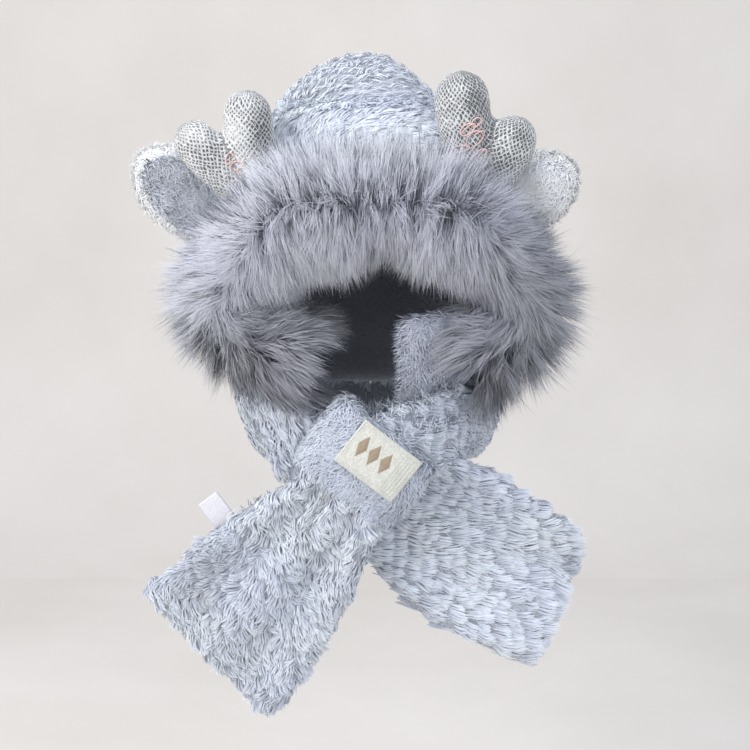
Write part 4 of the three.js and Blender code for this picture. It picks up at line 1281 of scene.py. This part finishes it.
# The patch on the keeper, in mm: its halves, its middle, the channels across it and the lines of stitches
PATCH_HALF = (29.5, 21.0)
PATCH_MIDDLE = KEEPER_MIDDLE + KEEPER_LONG * 0.05 * KEEPER_LENGTH - KEEPER_WIDE * 0.13 * KEEPER_BREADTH
PATCH_CHANNELS = (15.5, 18.2, 20.9, 23.6)
PATCH_LINES = (14.2, 16.9, 19.6, 22.3)
PATCH_INSETS = (1.3, 3.6)
PATCH_DEPTH = 1.9

# Diamonds of the motif, in mm: middles along the patch, half height, half width and distance of the threads
DIAMONDS = (-18.0, -6.3, 5.4)
DIAMOND_HALF_HEIGHT = 9.6
DIAMOND_HALF_WIDTH = 5.2
DIAMOND_PITCH = 0.62

patch_surface = Surface(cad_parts["label_patch"])


def threads(name, middles, ways, long, thick, sides=5):
    """Stitches as one joined mesh of short rounded threads that face the front."""
    outward = np.array([0.0, -1.0, 0.0])
    angle = round_angles(sides)
    side = np.cross(outward, ways)[:, None]
    rings = []
    for at, size in THREAD_RINGS:
        centre = middles + ways * np.reshape(long, (-1, 1)) * at - outward * (0.5 - 0.5 * size) * thick
        rings.append(centre[:, None] + (side * np.cos(angle) + outward * np.sin(angle)) * size * thick / 2)
    starts = np.arange(len(middles)) * len(rings) * sides
    faces = tube_faces(len(rings), sides)[None] + starts[:, None, None]
    return new_mesh(name, np.stack(rings, axis=1).reshape(-1, 3), faces.reshape(-1, 4)[:, ::-1])


def on_patch(s, t):
    """Places on the front of the patch for s along it and t across it, in mm from its middle."""
    spots = PATCH_MIDDLE + s[:, None] * KEEPER_LONG + t[:, None] * KEEPER_WIDE
    inside = PATCH_MIDDLE + (s * 0.985)[:, None] * KEEPER_LONG + (t * 0.98)[:, None] * KEEPER_WIDE
    spots[:, 1] = patch_surface.cast_level(1, -300.0, 1.0, inside[:, 0], inside[:, 2])[0][:, 1]
    return spots


def patch_cloth():
    columns, rows = 61, 45
    s, t = grid(np.linspace(-1, 1, columns) * PATCH_HALF[0], np.linspace(-1, 1, rows) * PATCH_HALF[1])
    face = on_patch(s, t)
    rear = face + [0, PATCH_DEPTH, 0]
    edge = np.minimum(PATCH_HALF[0] - np.abs(s), PATCH_HALF[1] - np.abs(t))
    groove = np.exp(-((edge - 2.6) ** 2) / 0.5) * 0.5
    for line in PATCH_CHANNELS:
        groove += np.exp(-((s - line) ** 2) / 0.5) * 0.5 * (edge > 3)
    face[:, 1] += groove + 0.7 * np.exp(-edge / 0.6) + 0.18 * waves(face, 16, 92)
    number = np.arange(columns * rows).reshape(columns, rows)
    quads = sheet_faces(number)
    rim = np.concatenate([number[:, 0], number[-1, 1:], number[-2::-1, -1], number[0, -2:0:-1]])
    following = np.roll(rim, -1)
    walls = np.stack([rim, rim + columns * rows, following + columns * rows, following], axis=-1)
    faces = np.concatenate([quads[:, ::-1], quads + columns * rows, walls[:, ::-1]])
    made = new_mesh("patch_cloth", np.concatenate([face, rear]), faces)
    low, high = (192, 193, 184), (222, 223, 215)
    canvas = cloth_material("patch canvas", low, high, 700.0, 4.0, 0.75, 0.2, (0.5, 0.0008))
    settle(made, canvas, "patch_cloth", "label_patch")


def stitch_line(start, end, pitch=2.0):
    """Middles and ways of the stitches from start to end on the patch."""
    start, end = np.array(start, float), np.array(end, float)
    count = max(2, int(np.linalg.norm(end - start) / pitch))
    at = (np.arange(count)[:, None] + 0.5) / count
    return start + (end - start) * at, np.repeat(unit(end - start)[None], count, axis=0)


def patch_stitches():
    """Two rows of stitches round the edge, and lines across the plain end."""
    w, h = PATCH_HALF
    lines = []
    for inset in PATCH_INSETS:
        a, b = w - inset, h - inset
        corners = [(-a, -b), (a, -b), (a, b), (-a, b)]
        lines += [stitch_line(*ends) for ends in zip(corners, corners[1:] + corners[:1])]
    lines += [stitch_line((line, -h + 5.2), (line, h - 5.2)) for line in PATCH_LINES]
    spots, ways = joined(lines)
    middles = on_patch(*spots.T) - [0, 0.05, 0]
    along = unit(on_patch(*(spots + ways * 0.6).T) - on_patch(*(spots - ways * 0.6).T))
    made = threads("patch_stitches", middles, along, 1.5, 0.62)
    thread = cloth_material("white thread", (176, 178, 172), (228, 229, 224), 1500.0, 2.0, 0.5, 0.3)
    settle(made, thread, "patch_cloth")


def patch_motif():
    """Three diamonds of threads that lie side by side."""
    at = np.arange(-DIAMOND_HALF_HEIGHT, DIAMOND_HALF_HEIGHT + 0.1, DIAMOND_PITCH)
    s, t = grid(np.array(DIAMONDS), at)
    long = 2 * DIAMOND_HALF_WIDTH * (1 - np.abs(t) / (DIAMOND_HALF_HEIGHT + 0.6))
    t = t - 2.0
    middles = on_patch(s, t) - [0, 0.25, 0]
    along = unit(unit(on_patch(s + 1, t) - on_patch(s - 1, t)) + KEEPER_WIDE * 0.12)
    made = threads("patch_motif", middles, along, long, 0.8)
    thread = cloth_material("tan thread", (150, 134, 112), (186, 168, 144), 1500.0, 2.0, 0.5, 0.3)
    settle(made, thread, "patch_cloth")


def label():
    """The blank tape, folded in two with its fold outwards."""
    rise = np.radians(53)
    run, across = np.array([-np.cos(rise), 0.0, np.sin(rise)]), np.array([np.sin(rise), 0.0, np.cos(rise)])
    middle = np.array(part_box("care_label")).mean(0) / MM
    reach, half, leaf = 15.0, 9.7, 0.75
    profile = []
    for step in np.linspace(0, 1, 16):
        profile.append((-reach + 2 * reach * step * 0.97, -leaf - 0.5 * np.sin(step * 3.1)))
    for angle in np.radians(np.linspace(-70, 70, 6)):
        profile.append((reach * 0.94 + 0.8 * np.cos(angle), leaf * np.sin(angle)))
    for step in np.linspace(1, 0, 16):
        profile.append((-reach + 2 * reach * step * 0.97, leaf + 0.15 * np.sin(step * 3.1)))
    rows = 13
    places = []
    for at in np.linspace(-half, half, rows):
        for a, b in profile:
            curl = 0.5 * np.cos(at / half * 1.3) * (a / reach)
            places.append(middle + run * a + across * at + [0, b - curl * 0.6, 0])
    number = np.arange(len(places)).reshape(rows, -1)
    made = new_mesh("label_tape", np.array(places), sheet_faces(number))
    thick = made.modifiers.new("thick", "SOLIDIFY")
    thick.thickness, thick.offset = 0.35 * MM, 0.0
    applied(made)
    low, high = (206, 206, 214), (228, 228, 234)
    satin = cloth_material("satin tape", low, high, 900.0, 3.0, 0.38, 0.3, (0.3, 0.0004))
    settle(made, satin, "tape", "care_label")


patch_cloth()
patch_stitches()
patch_motif()
label()

floor_and_backdrop()
light_and_camera()
